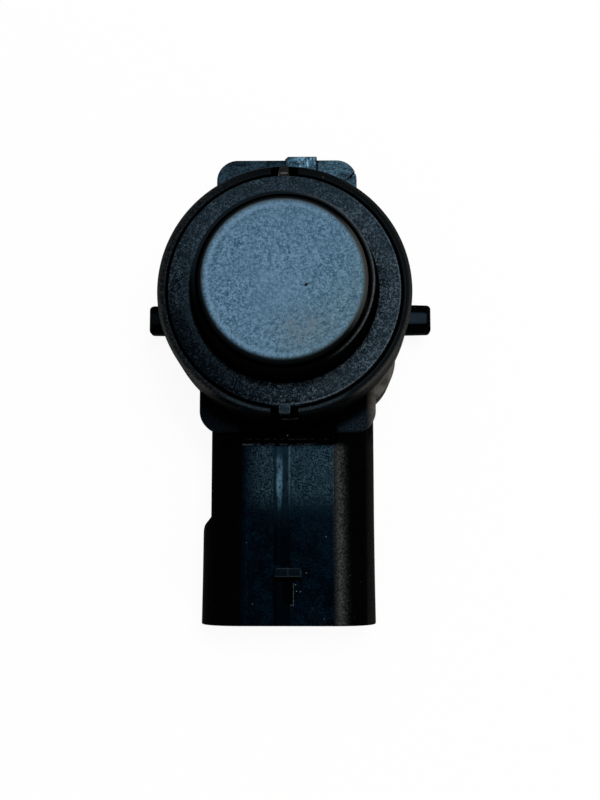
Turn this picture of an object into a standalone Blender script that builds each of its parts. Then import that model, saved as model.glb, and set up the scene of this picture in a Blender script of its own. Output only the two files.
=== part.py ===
"""Parking sensor: an ultrasonic transducer in a round barrel, with a connector shroud on one side.

The origin lies on the transducer's axis, in the plane of the rear face. +Z is the way the sensor looks
out of the bumper, and the connector points along -Y. Every length is in metres.
"""

import math

import bmesh
import bpy
from mathutils import Vector

# Clearances
SEAT_GAP = 0.0003
BOND_GAP = 0.00015

# Facets
ROUND_STEPS = 64
FINE_ROUND_STEPS = 24
ARC_STEPS = 6
WELD_DISTANCE = 0.000001
SMOOTH_ANGLE = math.radians(32)
OVERRUN = 0.001

# Membrane cup
CUP_RADIUS = 0.0081
CUP_SIDE_WALL = 0.0009
CUP_FACE_WALL = 0.0008
CUP_EDGE_RADIUS = 0.00035
CUP_COLLAR = 0.0009
CUP_COLLAR_HEIGHT = 0.0012
MEMBRANE_PROUD = 0.0048

# Decoupling sleeve
SLEEVE_TOP_WALL = 0.00035
SLEEVE_LIP = 0.0003
SLEEVE_LIP_RISE = 0.00015
SLEEVE_BELOW_MEMBRANE = 0.0006
SLEEVE_FLOOR = 0.0008
SLEEVE_SHOULDER = 0.0006
SLEEVE_EDGE = 0.0001

# Cover ring and its two keys
RING_WIDTH = 0.00215
RING_THICKNESS = 0.0020
RING_PROUD = 0.0003
RING_EDGE = 0.00015
RING_SEAT_WIDTH = 0.0009
KEY_WIDTH = 0.0012
KEY_TIP_SHARE = 0.8
KEY_STEP = 0.0004
TOP_KEY_LENGTH = 0.0010
BOTTOM_KEY_LENGTH = 0.0007
KEY_SLOT_WIDTH = 0.00275

# Barrel of the housing
RIM_WALL = 0.00085
RIM_EDGE = 0.00015
BARREL_DRAFT = 0.00015
PARTITION = 0.0014

# Rear body of the housing
BODY_CENTRE_X = 0.0002
BODY_HALF_WIDTH = 0.0112
BODY_HALF_HEIGHT = 0.0109
BODY_CORNER = 0.0053
BODY_LEFT_CORNER = 0.0066
BODY_DEPTH = 0.0097
BODY_EDGE = 0.0007
CHAMBER_WALL = 0.0018

# Flange at the connector side and plate at the far side
FLANGE_FACE_Z = 0.0100
FLANGE_THICKNESS = 0.0014
FLANGE_CENTRE_X = 0.00012
FLANGE_HALF_WIDTH = 0.00917
FLANGE_REACH = 0.0135
FLANGE_CORNER = 0.0023
FLANGE_POCKET_HALF_WIDTH = 0.00505
FLANGE_TO_PANEL = 0.00106
FLANGE_POCKET_DEPTH = 0.0035
PLATE_HALF_WIDTH = 0.00743
PLATE_REACH = 0.01567
PLATE_CORNER = 0.00215
TAB_CENTRE_X = 0.00165
TAB_WIDTH = 0.0031
TAB_RISE = 0.0008
TAB_RAMP = 0.0003
TAB_OVERHANG = 0.00016
TAB_LENGTH = 0.0034

# Side lugs
LUG_CENTRE_Y = -0.0005
LUG_LENGTH = 0.0042
LUG_HALF_WIDTH = 0.0016
LUG_REAR_Z = 0.0030
LUG_THICKNESS = 0.0013
LUG_CROWN = 0.0007
LUG_PLATEAU_HALF_WIDTH = 0.0005
LUG_END_SLOPE = 0.0005
LUG_CORNER = 0.0005

# Connector shroud
SHROUD_CENTRE_X = 0.00015
SHROUD_HALF_WIDTH = 0.0092
SHROUD_DRAFT = 0.00015
SHROUD_REAR_Z = 0.0003
SHROUD_FRONT_Z = 0.0096
SHROUD_MOUTH = 0.0333
SHROUD_FLANK = 0.0043
SHROUD_REAR_CORNER = 0.0020
SHROUD_WALL = 0.0013
SOCKET_DEPTH = 0.0109
RELIEF_DEPTH = 0.0010
RELIEF_BEFORE_SOCKET = 0.0002
RIB_WIDTH = 0.0012
RIB_OFFSET_X = -0.0007
RIB_RISE = 0.00012
RIB_TO_LATCH = 0.0003
LATCH_WIDTH = 0.00286
LATCH_TO_MOUTH = 0.0060
LATCH_LENGTH = 0.0010
LATCH_RISE = 0.0008
LATCH_CORNER = 0.0003
LATCH_SLOT_WIDTH = 0.00093
LATCH_SLOT_LENGTH = 0.0026
LATCH_SLOT_DEPTH = 0.0009
CORE_WALL = 0.0012
CORE_COUNT = 3

# Terminal blades
BLADE_PITCH = 0.0040
BLADE_COUNT = 3
BLADE_WIDTH = 0.0012
BLADE_THICKNESS = 0.0006
BLADE_LENGTH = 0.0058
BLADE_TAPER = 0.0008
BLADE_TIP_SHARE = 0.4
BLADE_BEND_RADIUS = 0.0004
BLADE_INSET = 0.0017
BLADE_TAIL = 0.0008

# Circuit board and its components
BLADE_TO_BOARD = 0.00075
BLADE_TO_POTTING = 0.0012
BOARD_THICKNESS = 0.0010
COMPONENT_SPACE = 0.0038
TRANSFORMER_INSET = 0.0011
TRANSFORMER_RADIUS = 0.0030
TRANSFORMER_POST_RADIUS = 0.0013
TRANSFORMER_HEIGHT = 0.0032
TRANSFORMER_FLANGE = 0.0006
WINDING_INSET = 0.0003
STORAGE_CAPACITOR_RADIUS = 0.0020
STORAGE_CAPACITOR_HEIGHT = 0.0030
STORAGE_CAPACITOR_GROOVE = 0.00025
COMPONENT_INSET = 0.0013
COMPONENT_EDGE = 0.00012
COMPONENT_SPACING = 0.0004
TAIL_TO_COMPONENTS = 0.0009
CHIP_SIZE = (0.0040, 0.0040, 0.0010)
RESISTOR_SIZE = (0.00125, 0.0020, 0.0006)
TUNING_CAPACITOR_SIZE = (0.0016, 0.0032, 0.0014)
SUPPLY_CAPACITOR_SIZE = (0.0020, 0.0032, 0.0016)
DIODE_SIZE = (0.0026, 0.0016, 0.0011)
TRANSISTOR_SIZE = (0.0029, 0.0014, 0.0010)
REAR_COMPONENT_Y = 0.0036

# Transducer parts inside the cup
PIEZO_RADIUS = 0.0040
PIEZO_THICKNESS = 0.0003
FELT_THICKNESS = 0.0020
CARRIER_HEAD_THICKNESS = 0.0021
CARRIER_SHOULDER = 0.0010
PIN_SIZE = 0.0006
PIN_SPACING = 0.0050
PIN_TOP_LENGTH = 0.0010
PIN_TAIL = 0.0008
WIRE_RADIUS = 0.00015
WIRE_CHANNEL_RADIUS = 0.0006
WIRE_SLACK = 0.0002

# Radii from the cup outward
SLEEVE_BORE_RADIUS = CUP_RADIUS + SEAT_GAP
SLEEVE_TOP_RADIUS = SLEEVE_BORE_RADIUS + SLEEVE_TOP_WALL
SLEEVE_LIP_RADIUS = SLEEVE_TOP_RADIUS + SLEEVE_LIP
RING_INNER_RADIUS = SLEEVE_LIP_RADIUS + SEAT_GAP
RING_OUTER_RADIUS = RING_INNER_RADIUS + RING_WIDTH
RIM_INNER_RADIUS = RING_OUTER_RADIUS + SEAT_GAP
RIM_OUTER_RADIUS = RIM_INNER_RADIUS + RIM_WALL
BARREL_REAR_RADIUS = RIM_OUTER_RADIUS + BARREL_DRAFT
SLEEVE_BASE_RADIUS = RING_OUTER_RADIUS - RING_SEAT_WIDTH
SLEEVE_POCKET_RADIUS = SLEEVE_BASE_RADIUS + SEAT_GAP
CUP_BORE_RADIUS = CUP_RADIUS - CUP_SIDE_WALL
CUP_FILL_RADIUS = CUP_BORE_RADIUS - SEAT_GAP
CUP_COLLAR_RADIUS = CUP_RADIUS + CUP_COLLAR
PARTITION_OPENING_RADIUS = CUP_BORE_RADIUS - CARRIER_SHOULDER
CARRIER_NECK_RADIUS = PARTITION_OPENING_RADIUS - SEAT_GAP

# Heights from the rear face forward
BLADE_Z = (SHROUD_REAR_Z + SHROUD_FRONT_Z) / 2
POTTING_FRONT_Z = BLADE_Z - BLADE_THICKNESS / 2 - BLADE_TO_POTTING
BOARD_REAR_Z = BLADE_Z + BLADE_THICKNESS / 2 + BLADE_TO_BOARD
BOARD_FRONT_Z = BOARD_REAR_Z + BOARD_THICKNESS
BOARD_LEDGE_Z = BOARD_FRONT_Z + SEAT_GAP
CHAMBER_ROOF_Z = BOARD_FRONT_Z + COMPONENT_SPACE
PARTITION_FACE_Z = CHAMBER_ROOF_Z + PARTITION
SLEEVE_REAR_Z = PARTITION_FACE_Z + SEAT_GAP
SLEEVE_FLOOR_Z = SLEEVE_REAR_Z + SLEEVE_FLOOR
CUP_REAR_Z = SLEEVE_FLOOR_Z + SEAT_GAP
CUP_COLLAR_Z = CUP_REAR_Z + CUP_COLLAR_HEIGHT
SLEEVE_GROOVE_Z = CUP_COLLAR_Z + SEAT_GAP
RING_SEAT_Z = SLEEVE_GROOVE_Z + SLEEVE_SHOULDER
RING_REAR_Z = RING_SEAT_Z + SEAT_GAP
RING_FACE_Z = RING_REAR_Z + RING_THICKNESS
RIM_Z = RING_FACE_Z - RING_PROUD
KEY_REAR_Z = RING_REAR_Z + KEY_STEP
KEY_SLOT_FLOOR_Z = KEY_REAR_Z - SEAT_GAP
MEMBRANE_Z = RING_FACE_Z + MEMBRANE_PROUD
BARREL_REAR_Z = BODY_DEPTH - BODY_EDGE
SLEEVE_TOP_Z = MEMBRANE_Z - SLEEVE_BELOW_MEMBRANE
CUP_INSIDE_Z = MEMBRANE_Z - CUP_FACE_WALL
PIEZO_TOP_Z = CUP_INSIDE_Z - BOND_GAP
PIEZO_REAR_Z = PIEZO_TOP_Z - PIEZO_THICKNESS
FELT_TOP_Z = PIEZO_REAR_Z - SEAT_GAP
FELT_REAR_Z = FELT_TOP_Z - FELT_THICKNESS
CARRIER_HEAD_Z = CUP_REAR_Z + SEAT_GAP
CARRIER_TOP_Z = CARRIER_HEAD_Z + CARRIER_HEAD_THICKNESS
FILLING_REAR_Z = CARRIER_TOP_Z + SEAT_GAP
FILLING_TOP_Z = FELT_REAR_Z - SEAT_GAP
PIN_TOP_Z = CARRIER_TOP_Z + PIN_TOP_LENGTH

# Places along the connector
SOCKET_FLOOR = SHROUD_MOUTH - SOCKET_DEPTH
RELIEF_END = SOCKET_FLOOR - RELIEF_BEFORE_SOCKET
PANEL_START = FLANGE_REACH + FLANGE_TO_PANEL
LATCH_START = SHROUD_MOUTH - LATCH_TO_MOUTH
LATCH_END = LATCH_START + LATCH_LENGTH
RIB_END = LATCH_START - RIB_TO_LATCH
CHAMBER_HALF_WIDTH = BODY_HALF_WIDTH - CHAMBER_WALL
CHAMBER_HALF_HEIGHT = BODY_HALF_HEIGHT - CHAMBER_WALL
CHAMBER_CORNER = BODY_CORNER - CHAMBER_WALL
SHROUD_ROOT = CHAMBER_HALF_HEIGHT + CHAMBER_WALL / 2
BLADE_BEND_Y = -(CHAMBER_HALF_HEIGHT - BLADE_INSET)
FIRST_COMPONENT_Y = BLADE_BEND_Y + BLADE_THICKNESS / 2 + TAIL_TO_COMPONENTS
LEDGE_RADIUS = BARREL_REAR_RADIUS - CHAMBER_WALL
LEDGE_HALF_WIDTH = math.sqrt(LEDGE_RADIUS ** 2 - FIRST_COMPONENT_Y ** 2)
COMPONENT_REACH = min(CHAMBER_HALF_WIDTH, LEDGE_HALF_WIDTH) - COMPONENT_INSET


def clear_scene():
    for item in list(bpy.data.objects):
        bpy.data.objects.remove(item, do_unlink=True)


def make_collection(name):
    collection = bpy.data.collections.new(name)
    bpy.context.scene.collection.children.link(collection)
    return collection


def make_material(name, colour, roughness, metallic=0.0):
    material = bpy.data.materials.new(name)
    material.use_nodes = True
    shader = material.node_tree.nodes["Principled BSDF"]
    shader.inputs["Base Color"].default_value = (*colour, 1.0)
    shader.inputs["Roughness"].default_value = roughness
    shader.inputs["Metallic"].default_value = metallic
    return material


def add_object(name, data, collection):
    item = bpy.data.objects.new(name, data)
    collection.objects.link(item)
    return item


def mark_as_guide(item):
    item.hide_render = True
    item.display_type = 'WIRE'


def evaluated_mesh(item):
    """Return a new mesh of the object with its modifiers applied."""
    bpy.context.view_layer.update()
    depsgraph = bpy.context.evaluated_depsgraph_get()
    return bpy.data.meshes.new_from_object(item.evaluated_get(depsgraph))


def weld(mesh):
    """Join the loose caps of an extruded outline to its walls, and clear the edges inside the caps."""
    work = bmesh.new()
    work.from_mesh(mesh)
    bmesh.ops.remove_doubles(work, verts=work.verts, dist=WELD_DISTANCE)
    bmesh.ops.dissolve_limit(work, angle_limit=math.radians(1), verts=work.verts, edges=work.edges)
    bmesh.ops.recalc_face_normals(work, faces=work.faces)
    work.to_mesh(mesh)
    work.free()


def rounded_outline(corners, steps=ARC_STEPS):
    """Turn corners given as (x, y, radius) into an outline with an arc at each rounded corner."""
    points = []
    for index, (x, y, radius) in enumerate(corners):
        corner = Vector((x, y))
        if radius == 0.0:
            points.append(corner)
            continue
        before = (Vector(corners[index - 1][:2]) - corner).normalized()
        after = (Vector(corners[(index + 1) % len(corners)][:2]) - corner).normalized()
        half_angle = before.angle(after) / 2
        centre = corner + (before + after).normalized() * radius / math.sin(half_angle)
        start = corner + before * radius / math.tan(half_angle) - centre
        end = corner + after * radius / math.tan(half_angle) - centre
        start_angle = math.atan2(start.y, start.x)
        turn = math.atan2(end.y, end.x) - start_angle
        sweep = (turn + math.pi) % (2 * math.pi) - math.pi
        for step in range(steps + 1):
            angle = start_angle + sweep * step / steps
            points.append(centre + radius * Vector((math.cos(angle), math.sin(angle))))
    return points


def rectangle(left, right, bottom, top, radius=0.0):
    return rounded_outline([
        (left, bottom, radius),
        (right, bottom, radius),
        (right, top, radius),
        (left, top, radius),
    ])


def circle(x, y, radius, steps=ROUND_STEPS):
    angles = [2 * math.pi * step / steps for step in range(steps)]
    return [Vector((x + radius * math.cos(a), y + radius * math.sin(a))) for a in angles]


def extruded(name, outlines, start, end, collection, axis='Z'):
    """Extrude an outline between two places along an axis; outlines after the first are holes.

    The outline's two coordinates are X and Y along Z, X and Z along Y, and Y and Z along X.
    """
    curve = bpy.data.curves.new(name, 'CURVE')
    curve.dimensions = '2D'
    curve.fill_mode = 'BOTH'
    curve.extrude = abs(end - start) / 2
    for outline in outlines:
        spline = curve.splines.new('POLY')
        spline.points.add(len(outline) - 1)
        for point, place in zip(spline.points, outline):
            point.co = (place[0], place[1], 0.0, 1.0)
        spline.use_cyclic_u = True
    drawing = add_object(name + "_outline", curve, collection)
    middle = (start + end) / 2
    quarter = math.pi / 2
    if axis == 'Z':
        drawing.location.z = middle
    elif axis == 'Y':
        drawing.location.y = middle
        drawing.rotation_euler = (quarter, 0.0, 0.0)
    else:
        drawing.location.x = middle
        drawing.rotation_euler = (quarter, 0.0, quarter)
    mesh = evaluated_mesh(drawing)
    weld(mesh)
    item = add_object(name, mesh, collection)
    item.matrix_world = drawing.matrix_world.copy()
    bpy.data.objects.remove(drawing, do_unlink=True)
    return item


def turned(name, profile, collection, closed=False, steps=ROUND_STEPS):
    """Turn a profile of (radius, z) points, given from top to bottom on the outer side."""
    edges = [(index, index + 1) for index in range(len(profile) - 1)]
    if closed:
        edges.append((len(profile) - 1, 0))
    mesh = bpy.data.meshes.new(name)
    mesh.from_pydata([(radius, 0.0, z) for radius, z in profile], edges, [])
    item = add_object(name, mesh, collection)
    screw = item.modifiers.new("turn", 'SCREW')
    screw.steps = steps
    screw.render_steps = steps
    screw.use_merge_vertices = True
    screw.merge_threshold = WELD_DISTANCE
    return item


def bevel(item, width, segments):
    modifier = item.modifiers.new("edge", 'BEVEL')
    modifier.width = width
    modifier.segments = segments
    modifier.limit_method = 'ANGLE'
    modifier.angle_limit = math.radians(40)
    return modifier


def combine(item, others, operation):
    """Join the others to the item, or cut them out of it, one after the other."""
    for other in others:
        mark_as_guide(other)
        modifier = item.modifiers.new(other.name, 'BOOLEAN')
        modifier.operation = operation
        modifier.solver = 'EXACT'
        modifier.object = other


def finish(item, material):
    """Settle the modifiers of a piece, give it its material and shade its round faces smooth."""
    mesh = evaluated_mesh(item)
    item.modifiers.clear()
    item.data = mesh
    mesh.materials.clear()
    mesh.materials.append(material)
    mesh.shade_smooth()
    mesh.set_sharp_from_angle(angle=SMOOTH_ANGLE)
    return item


def arc_profile(centre_radius, centre_z, radius, start_angle, end_angle, steps=ARC_STEPS):
    """Points of an arc in a turned profile, with angles measured from the outward direction to +Z."""
    points = []
    for step in range(steps + 1):
        angle = start_angle + (end_angle - start_angle) * step / steps
        points.append((centre_radius + radius * math.cos(angle), centre_z + radius * math.sin(angle)))
    return points


def barrel(collection):
    profile = [
        (0.0, RIM_Z),
        (RIM_OUTER_RADIUS - RIM_EDGE, RIM_Z),
        (RIM_OUTER_RADIUS, RIM_Z - RIM_EDGE),
        (BARREL_REAR_RADIUS, BARREL_REAR_Z),
        (0.0, BARREL_REAR_Z),
    ]
    return turned("housing", profile, collection)


def rear_body(guides):
    left = BODY_CENTRE_X - BODY_HALF_WIDTH
    right = BODY_CENTRE_X + BODY_HALF_WIDTH
    outline = rounded_outline([
        (left, -BODY_HALF_HEIGHT, BODY_LEFT_CORNER),
        (right, -BODY_HALF_HEIGHT, BODY_CORNER),
        (right, BODY_HALF_HEIGHT, BODY_CORNER),
        (left, BODY_HALF_HEIGHT, BODY_CORNER),
    ])
    body = extruded("rear_body", [outline], 0.0, BODY_DEPTH, guides)
    bevel(body, BODY_EDGE, 2)
    return body


def panel_pocket(guides):
    """The hollow between the flange's two ears, which ends where the shroud's front face begins."""
    outline = rectangle(
        SHROUD_CENTRE_X - FLANGE_POCKET_HALF_WIDTH,
        SHROUD_CENTRE_X + FLANGE_POCKET_HALF_WIDTH,
        -PANEL_START,
        -SHROUD_ROOT + OVERRUN,
    )
    floor = FLANGE_FACE_Z - FLANGE_POCKET_DEPTH
    top = max(FLANGE_FACE_Z, SHROUD_FRONT_Z) + OVERRUN
    return extruded("panel_pocket", [outline], floor, top, guides)


def flange(pocket, guides):
    root = BODY_HALF_HEIGHT / 2
    left = FLANGE_CENTRE_X - FLANGE_HALF_WIDTH
    right = FLANGE_CENTRE_X + FLANGE_HALF_WIDTH
    outline = rounded_outline([
        (left, -FLANGE_REACH, FLANGE_CORNER),
        (right, -FLANGE_REACH, FLANGE_CORNER),
        (right, -root, 0.0),
        (left, -root, 0.0),
    ])
    plate = extruded("flange", [outline], FLANGE_FACE_Z - FLANGE_THICKNESS, FLANGE_FACE_Z, guides)
    combine(plate, [pocket], 'DIFFERENCE')
    return plate


def far_plate(guides):
    root = BODY_HALF_HEIGHT / 2
    outline = rounded_outline([
        (-PLATE_HALF_WIDTH, root, 0.0),
        (PLATE_HALF_WIDTH, root, 0.0),
        (PLATE_HALF_WIDTH, PLATE_REACH, PLATE_CORNER),
        (-PLATE_HALF_WIDTH, PLATE_REACH, PLATE_CORNER),
    ])
    return extruded("far_plate", [outline], FLANGE_FACE_Z - FLANGE_THICKNESS, FLANGE_FACE_Z, guides)


def far_tab(guides):
    """The raised tab on the far plate, with a short ramp on one side."""
    left = TAB_CENTRE_X - TAB_WIDTH / 2
    right = TAB_CENTRE_X + TAB_WIDTH / 2
    foot = FLANGE_FACE_Z - FLANGE_THICKNESS / 2
    top = FLANGE_FACE_Z + TAB_RISE
    end = PLATE_REACH + TAB_OVERHANG
    outline = rounded_outline([
        (left - TAB_RAMP, foot, 0.0),
        (right, foot, 0.0),
        (right, top, 0.0),
        (left, top, 0.0),
        (left - TAB_RAMP, FLANGE_FACE_Z, 0.0),
    ])
    return extruded("far_tab", [outline], end - TAB_LENGTH, end, guides, axis='Y')


def side_lug(side, guides):
    """One of the two lugs that hold the sensor in its bracket, with a crown sloped on three sides."""
    root = CHAMBER_HALF_WIDTH + CHAMBER_WALL / 2
    low = LUG_CENTRE_Y - LUG_HALF_WIDTH
    high = LUG_CENTRE_Y + LUG_HALF_WIDTH
    tip = BODY_HALF_WIDTH + LUG_LENGTH + side * BODY_CENTRE_X
    outline = rounded_outline([
        (root, low, 0.0),
        (tip, low, LUG_CORNER),
        (tip, high, LUG_CORNER),
        (root, high, 0.0),
    ])
    mirrored = [Vector((side * point.x, point.y)) for point in outline]
    name = "lug_right" if side > 0 else "lug_left"
    lug = extruded(name, [mirrored], LUG_REAR_Z, LUG_REAR_Z + LUG_THICKNESS, guides)
    work = bmesh.new()
    work.from_mesh(lug.data)
    front = max(work.faces, key=lambda face: face.calc_center_median().z)
    grown = bmesh.ops.extrude_face_region(work, geom=[front])
    bmesh.ops.delete(work, geom=[front], context='FACES_ONLY')
    width_share = LUG_PLATEAU_HALF_WIDTH / LUG_HALF_WIDTH
    length_share = (tip - LUG_END_SLOPE - root) / (tip - root)
    for vertex in [part for part in grown["geom"] if isinstance(part, bmesh.types.BMVert)]:
        vertex.co.x = side * (root + (abs(vertex.co.x) - root) * length_share)
        vertex.co.y = LUG_CENTRE_Y + (vertex.co.y - LUG_CENTRE_Y) * width_share
        vertex.co.z += LUG_CROWN
    bmesh.ops.recalc_face_normals(work, faces=work.faces)
    work.to_mesh(lug.data)
    work.free()
    return lug


def shroud_outline(inset, half_width, steps=ARC_STEPS):
    """Section of the connector shroud: wide front corners, tight rear corners, inset by a wall."""
    left = SHROUD_CENTRE_X - half_width + inset
    right = SHROUD_CENTRE_X + half_width - inset
    rear = SHROUD_REAR_Z + inset
    front = SHROUD_FRONT_Z - inset
    return rounded_outline([
        (left, rear, SHROUD_REAR_CORNER - inset),
        (right, rear, SHROUD_REAR_CORNER - inset),
        (right, front, SHROUD_FLANK - inset),
        (left, front, SHROUD_FLANK - inset),
    ], steps)


def connector_shroud(pocket, guides):
    outline = shroud_outline(0.0, SHROUD_HALF_WIDTH, ARC_STEPS + 2)
    shroud = extruded("connector_shroud", [outline], -SHROUD_MOUTH, -SHROUD_ROOT, guides, axis='Y')
    to_world = shroud.matrix_world
    root_share = (SHROUD_HALF_WIDTH - SHROUD_DRAFT) / SHROUD_HALF_WIDTH
    for vertex in shroud.data.vertices:
        if (to_world @ vertex.co).y > -SHROUD_MOUTH / 2:
            vertex.co.x = SHROUD_CENTRE_X + (vertex.co.x - SHROUD_CENTRE_X) * root_share
    outer = SHROUD_CENTRE_X - SHROUD_HALF_WIDTH
    relief = rounded_outline([
        (outer - OVERRUN, -(RELIEF_END + RELIEF_DEPTH + OVERRUN), 0.0),
        (outer + RELIEF_DEPTH, -RELIEF_END, 0.0),
        (outer + RELIEF_DEPTH, -SHROUD_ROOT + OVERRUN, 0.0),
        (outer - OVERRUN, -SHROUD_ROOT + OVERRUN, 0.0),
    ])
    relief_cut = extruded("shroud_relief", [relief], -OVERRUN, SHROUD_FRONT_Z + OVERRUN, guides)
    combine(shroud, [relief_cut, pocket], 'DIFFERENCE')
    return shroud


def shroud_rib(guides):
    """The low smooth strip beside the middle of the shroud's front face."""
    middle = SHROUD_CENTRE_X + RIB_OFFSET_X
    foot = SHROUD_FRONT_Z - SHROUD_WALL / 2
    outline = rounded_outline([
        (middle - RIB_WIDTH / 2, foot, 0.0),
        (middle + RIB_WIDTH / 2, foot, 0.0),
        (middle + RIB_WIDTH / 2, SHROUD_FRONT_Z + RIB_RISE, 0.0),
        (middle - RIB_WIDTH / 2, SHROUD_FRONT_Z + RIB_RISE, 0.0),
    ])
    return extruded("shroud_rib", [outline], -RIB_END, -PANEL_START, guides, axis='Y')


def latch_nib(guides):
    """The bar on the shroud's front face that the plug's latch snaps over."""
    foot = SHROUD_FRONT_Z - SHROUD_WALL / 2
    top = SHROUD_FRONT_Z + LATCH_RISE
    left = SHROUD_CENTRE_X - LATCH_WIDTH / 2
    right = SHROUD_CENTRE_X + LATCH_WIDTH / 2
    outline = rounded_outline([
        (left, foot, 0.0),
        (right, foot, 0.0),
        (right, top, LATCH_CORNER),
        (left, top, LATCH_CORNER),
    ])
    return extruded("latch_nib", [outline], -LATCH_END, -LATCH_START, guides, axis='Y')


def transducer_cut(guides):
    """The stepped bore that takes the cover ring, the sleeve and the contact carrier."""
    profile = [
        (0.0, RIM_Z + OVERRUN),
        (RIM_INNER_RADIUS, RIM_Z + OVERRUN),
        (RIM_INNER_RADIUS, RING_SEAT_Z),
        (SLEEVE_POCKET_RADIUS, RING_SEAT_Z),
        (SLEEVE_POCKET_RADIUS, PARTITION_FACE_Z),
        (PARTITION_OPENING_RADIUS, PARTITION_FACE_Z),
        (PARTITION_OPENING_RADIUS, CHAMBER_ROOF_Z - OVERRUN),
        (0.0, CHAMBER_ROOF_Z - OVERRUN),
    ]
    return turned("transducer_cut", profile, guides)


def chamber_outline(gap):
    half_width = CHAMBER_HALF_WIDTH - gap
    half_height = CHAMBER_HALF_HEIGHT - gap
    return rectangle(-half_width, half_width, -half_height, half_height, CHAMBER_CORNER - gap)


def chamber_cut(guides):
    """The rear chamber, whose corners stop at the ledge that the circuit board seats against."""
    cut = extruded("chamber_cut", [chamber_outline(0.0)], -OVERRUN, CHAMBER_ROOF_Z, guides)
    outside = BODY_HALF_WIDTH + BODY_HALF_HEIGHT
    ledge = turned("board_ledge", [
        (outside, CHAMBER_ROOF_Z + OVERRUN),
        (outside, BOARD_LEDGE_Z),
        (LEDGE_RADIUS, BOARD_LEDGE_Z),
        (LEDGE_RADIUS, CHAMBER_ROOF_Z + OVERRUN),
    ], guides, closed=True)
    combine(cut, [ledge], 'DIFFERENCE')
    return cut


def key_slot_cut(guides):
    """One cut across the barrel makes both key slots of the rim."""
    half = KEY_SLOT_WIDTH / 2
    reach = BARREL_REAR_RADIUS + OVERRUN
    outline = rectangle(-half, half, -reach, reach)
    return extruded("key_slot_cut", [outline], KEY_SLOT_FLOOR_Z, RIM_Z + OVERRUN, guides)


def socket_cut(guides):
    outline = shroud_outline(SHROUD_WALL, SHROUD_HALF_WIDTH - SHROUD_DRAFT)
    return extruded("socket_cut", [outline], -SHROUD_MOUTH - OVERRUN, -SOCKET_FLOOR, guides, axis='Y')


def latch_slot_cut(guides):
    half = LATCH_SLOT_WIDTH / 2
    left = SHROUD_CENTRE_X - half
    right = SHROUD_CENTRE_X + half
    outline = rectangle(left, right, -LATCH_END - LATCH_SLOT_LENGTH, -LATCH_END)
    floor = SHROUD_FRONT_Z - LATCH_SLOT_DEPTH
    return extruded("latch_slot_cut", [outline], floor, SHROUD_FRONT_Z + OVERRUN, guides)


def blade_places():
    first = SHROUD_CENTRE_X - BLADE_PITCH * (BLADE_COUNT - 1) / 2
    return [first + BLADE_PITCH * index for index in range(BLADE_COUNT)]


def blade_slot_cuts(guides):
    """The passages that the blades take through the wall between the socket and the chamber."""
    cuts = []
    for index, x in enumerate(blade_places()):
        half_width = BLADE_WIDTH / 2 + BOND_GAP
        half_thickness = BLADE_THICKNESS / 2 + BOND_GAP
        bottom = BLADE_Z - half_thickness
        outline = rectangle(x - half_width, x + half_width, bottom, BLADE_Z + half_thickness)
        start = -SOCKET_FLOOR - OVERRUN
        end = -CHAMBER_HALF_HEIGHT + OVERRUN
        cuts.append(extruded(f"blade_slot_{index}", [outline], start, end, guides, axis='Y'))
    return cuts


def rear_core_cuts(guides):
    """Pockets in the rear of the thick neck, parted by ribs, which keep the moulded wall even."""
    left = SHROUD_CENTRE_X - SHROUD_HALF_WIDTH + SHROUD_REAR_CORNER
    right = SHROUD_CENTRE_X + SHROUD_HALF_WIDTH - SHROUD_REAR_CORNER
    width = (right - left - CORE_WALL * (CORE_COUNT - 1)) / CORE_COUNT
    start = -SOCKET_FLOOR + CORE_WALL
    end = -BODY_HALF_HEIGHT - CORE_WALL
    top = BLADE_Z - BLADE_THICKNESS / 2 - BOND_GAP - CORE_WALL
    cuts = []
    for index in range(CORE_COUNT):
        edge = left + index * (width + CORE_WALL)
        outline = rectangle(edge, edge + width, start, end)
        cuts.append(extruded(f"rear_core_{index}", [outline], -OVERRUN, top, guides))
    return cuts


def housing(parts, guides, material):
    shell = barrel(parts)
    pocket = panel_pocket(guides)
    combine(shell, [
        rear_body(guides),
        connector_shroud(pocket, guides),
        flange(pocket, guides),
        far_plate(guides),
        far_tab(guides),
        side_lug(1, guides),
        side_lug(-1, guides),
        shroud_rib(guides),
        latch_nib(guides),
    ], 'UNION')
    combine(shell, [
        transducer_cut(guides),
        chamber_cut(guides),
        key_slot_cut(guides),
        socket_cut(guides),
        latch_slot_cut(guides),
        *blade_slot_cuts(guides),
        *rear_core_cuts(guides),
    ], 'DIFFERENCE')
    return finish(shell, material)


def ring_key(name, length, direction, guides):
    """A key of the cover ring, narrowing to its tip, that lies in a slot of the rim."""
    root = (RING_INNER_RADIUS + RING_OUTER_RADIUS) / 2
    tip = RING_OUTER_RADIUS + length
    half = KEY_WIDTH / 2
    outline = rounded_outline([
        (-half, direction * root, 0.0),
        (half, direction * root, 0.0),
        (half * KEY_TIP_SHARE, direction * tip, 0.0),
        (-half * KEY_TIP_SHARE, direction * tip, 0.0),
    ])
    top = RING_FACE_Z - RING_EDGE
    return extruded(name, [outline], KEY_REAR_Z, top, guides)


def cover_ring(parts, guides, material):
    ring = turned("cover_ring", [
        (RING_OUTER_RADIUS - RING_EDGE, RING_FACE_Z),
        (RING_OUTER_RADIUS, RING_FACE_Z - RING_EDGE),
        (RING_OUTER_RADIUS, RING_REAR_Z),
        (RING_INNER_RADIUS, RING_REAR_Z),
        (RING_INNER_RADIUS, RING_FACE_Z - RING_EDGE),
        (RING_INNER_RADIUS + RING_EDGE, RING_FACE_Z),
    ], parts, closed=True)
    keys = [
        ring_key("top_key", TOP_KEY_LENGTH, 1, guides),
        ring_key("bottom_key", BOTTOM_KEY_LENGTH, -1, guides),
    ]
    combine(ring, keys, 'UNION')
    return finish(ring, material)


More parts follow.
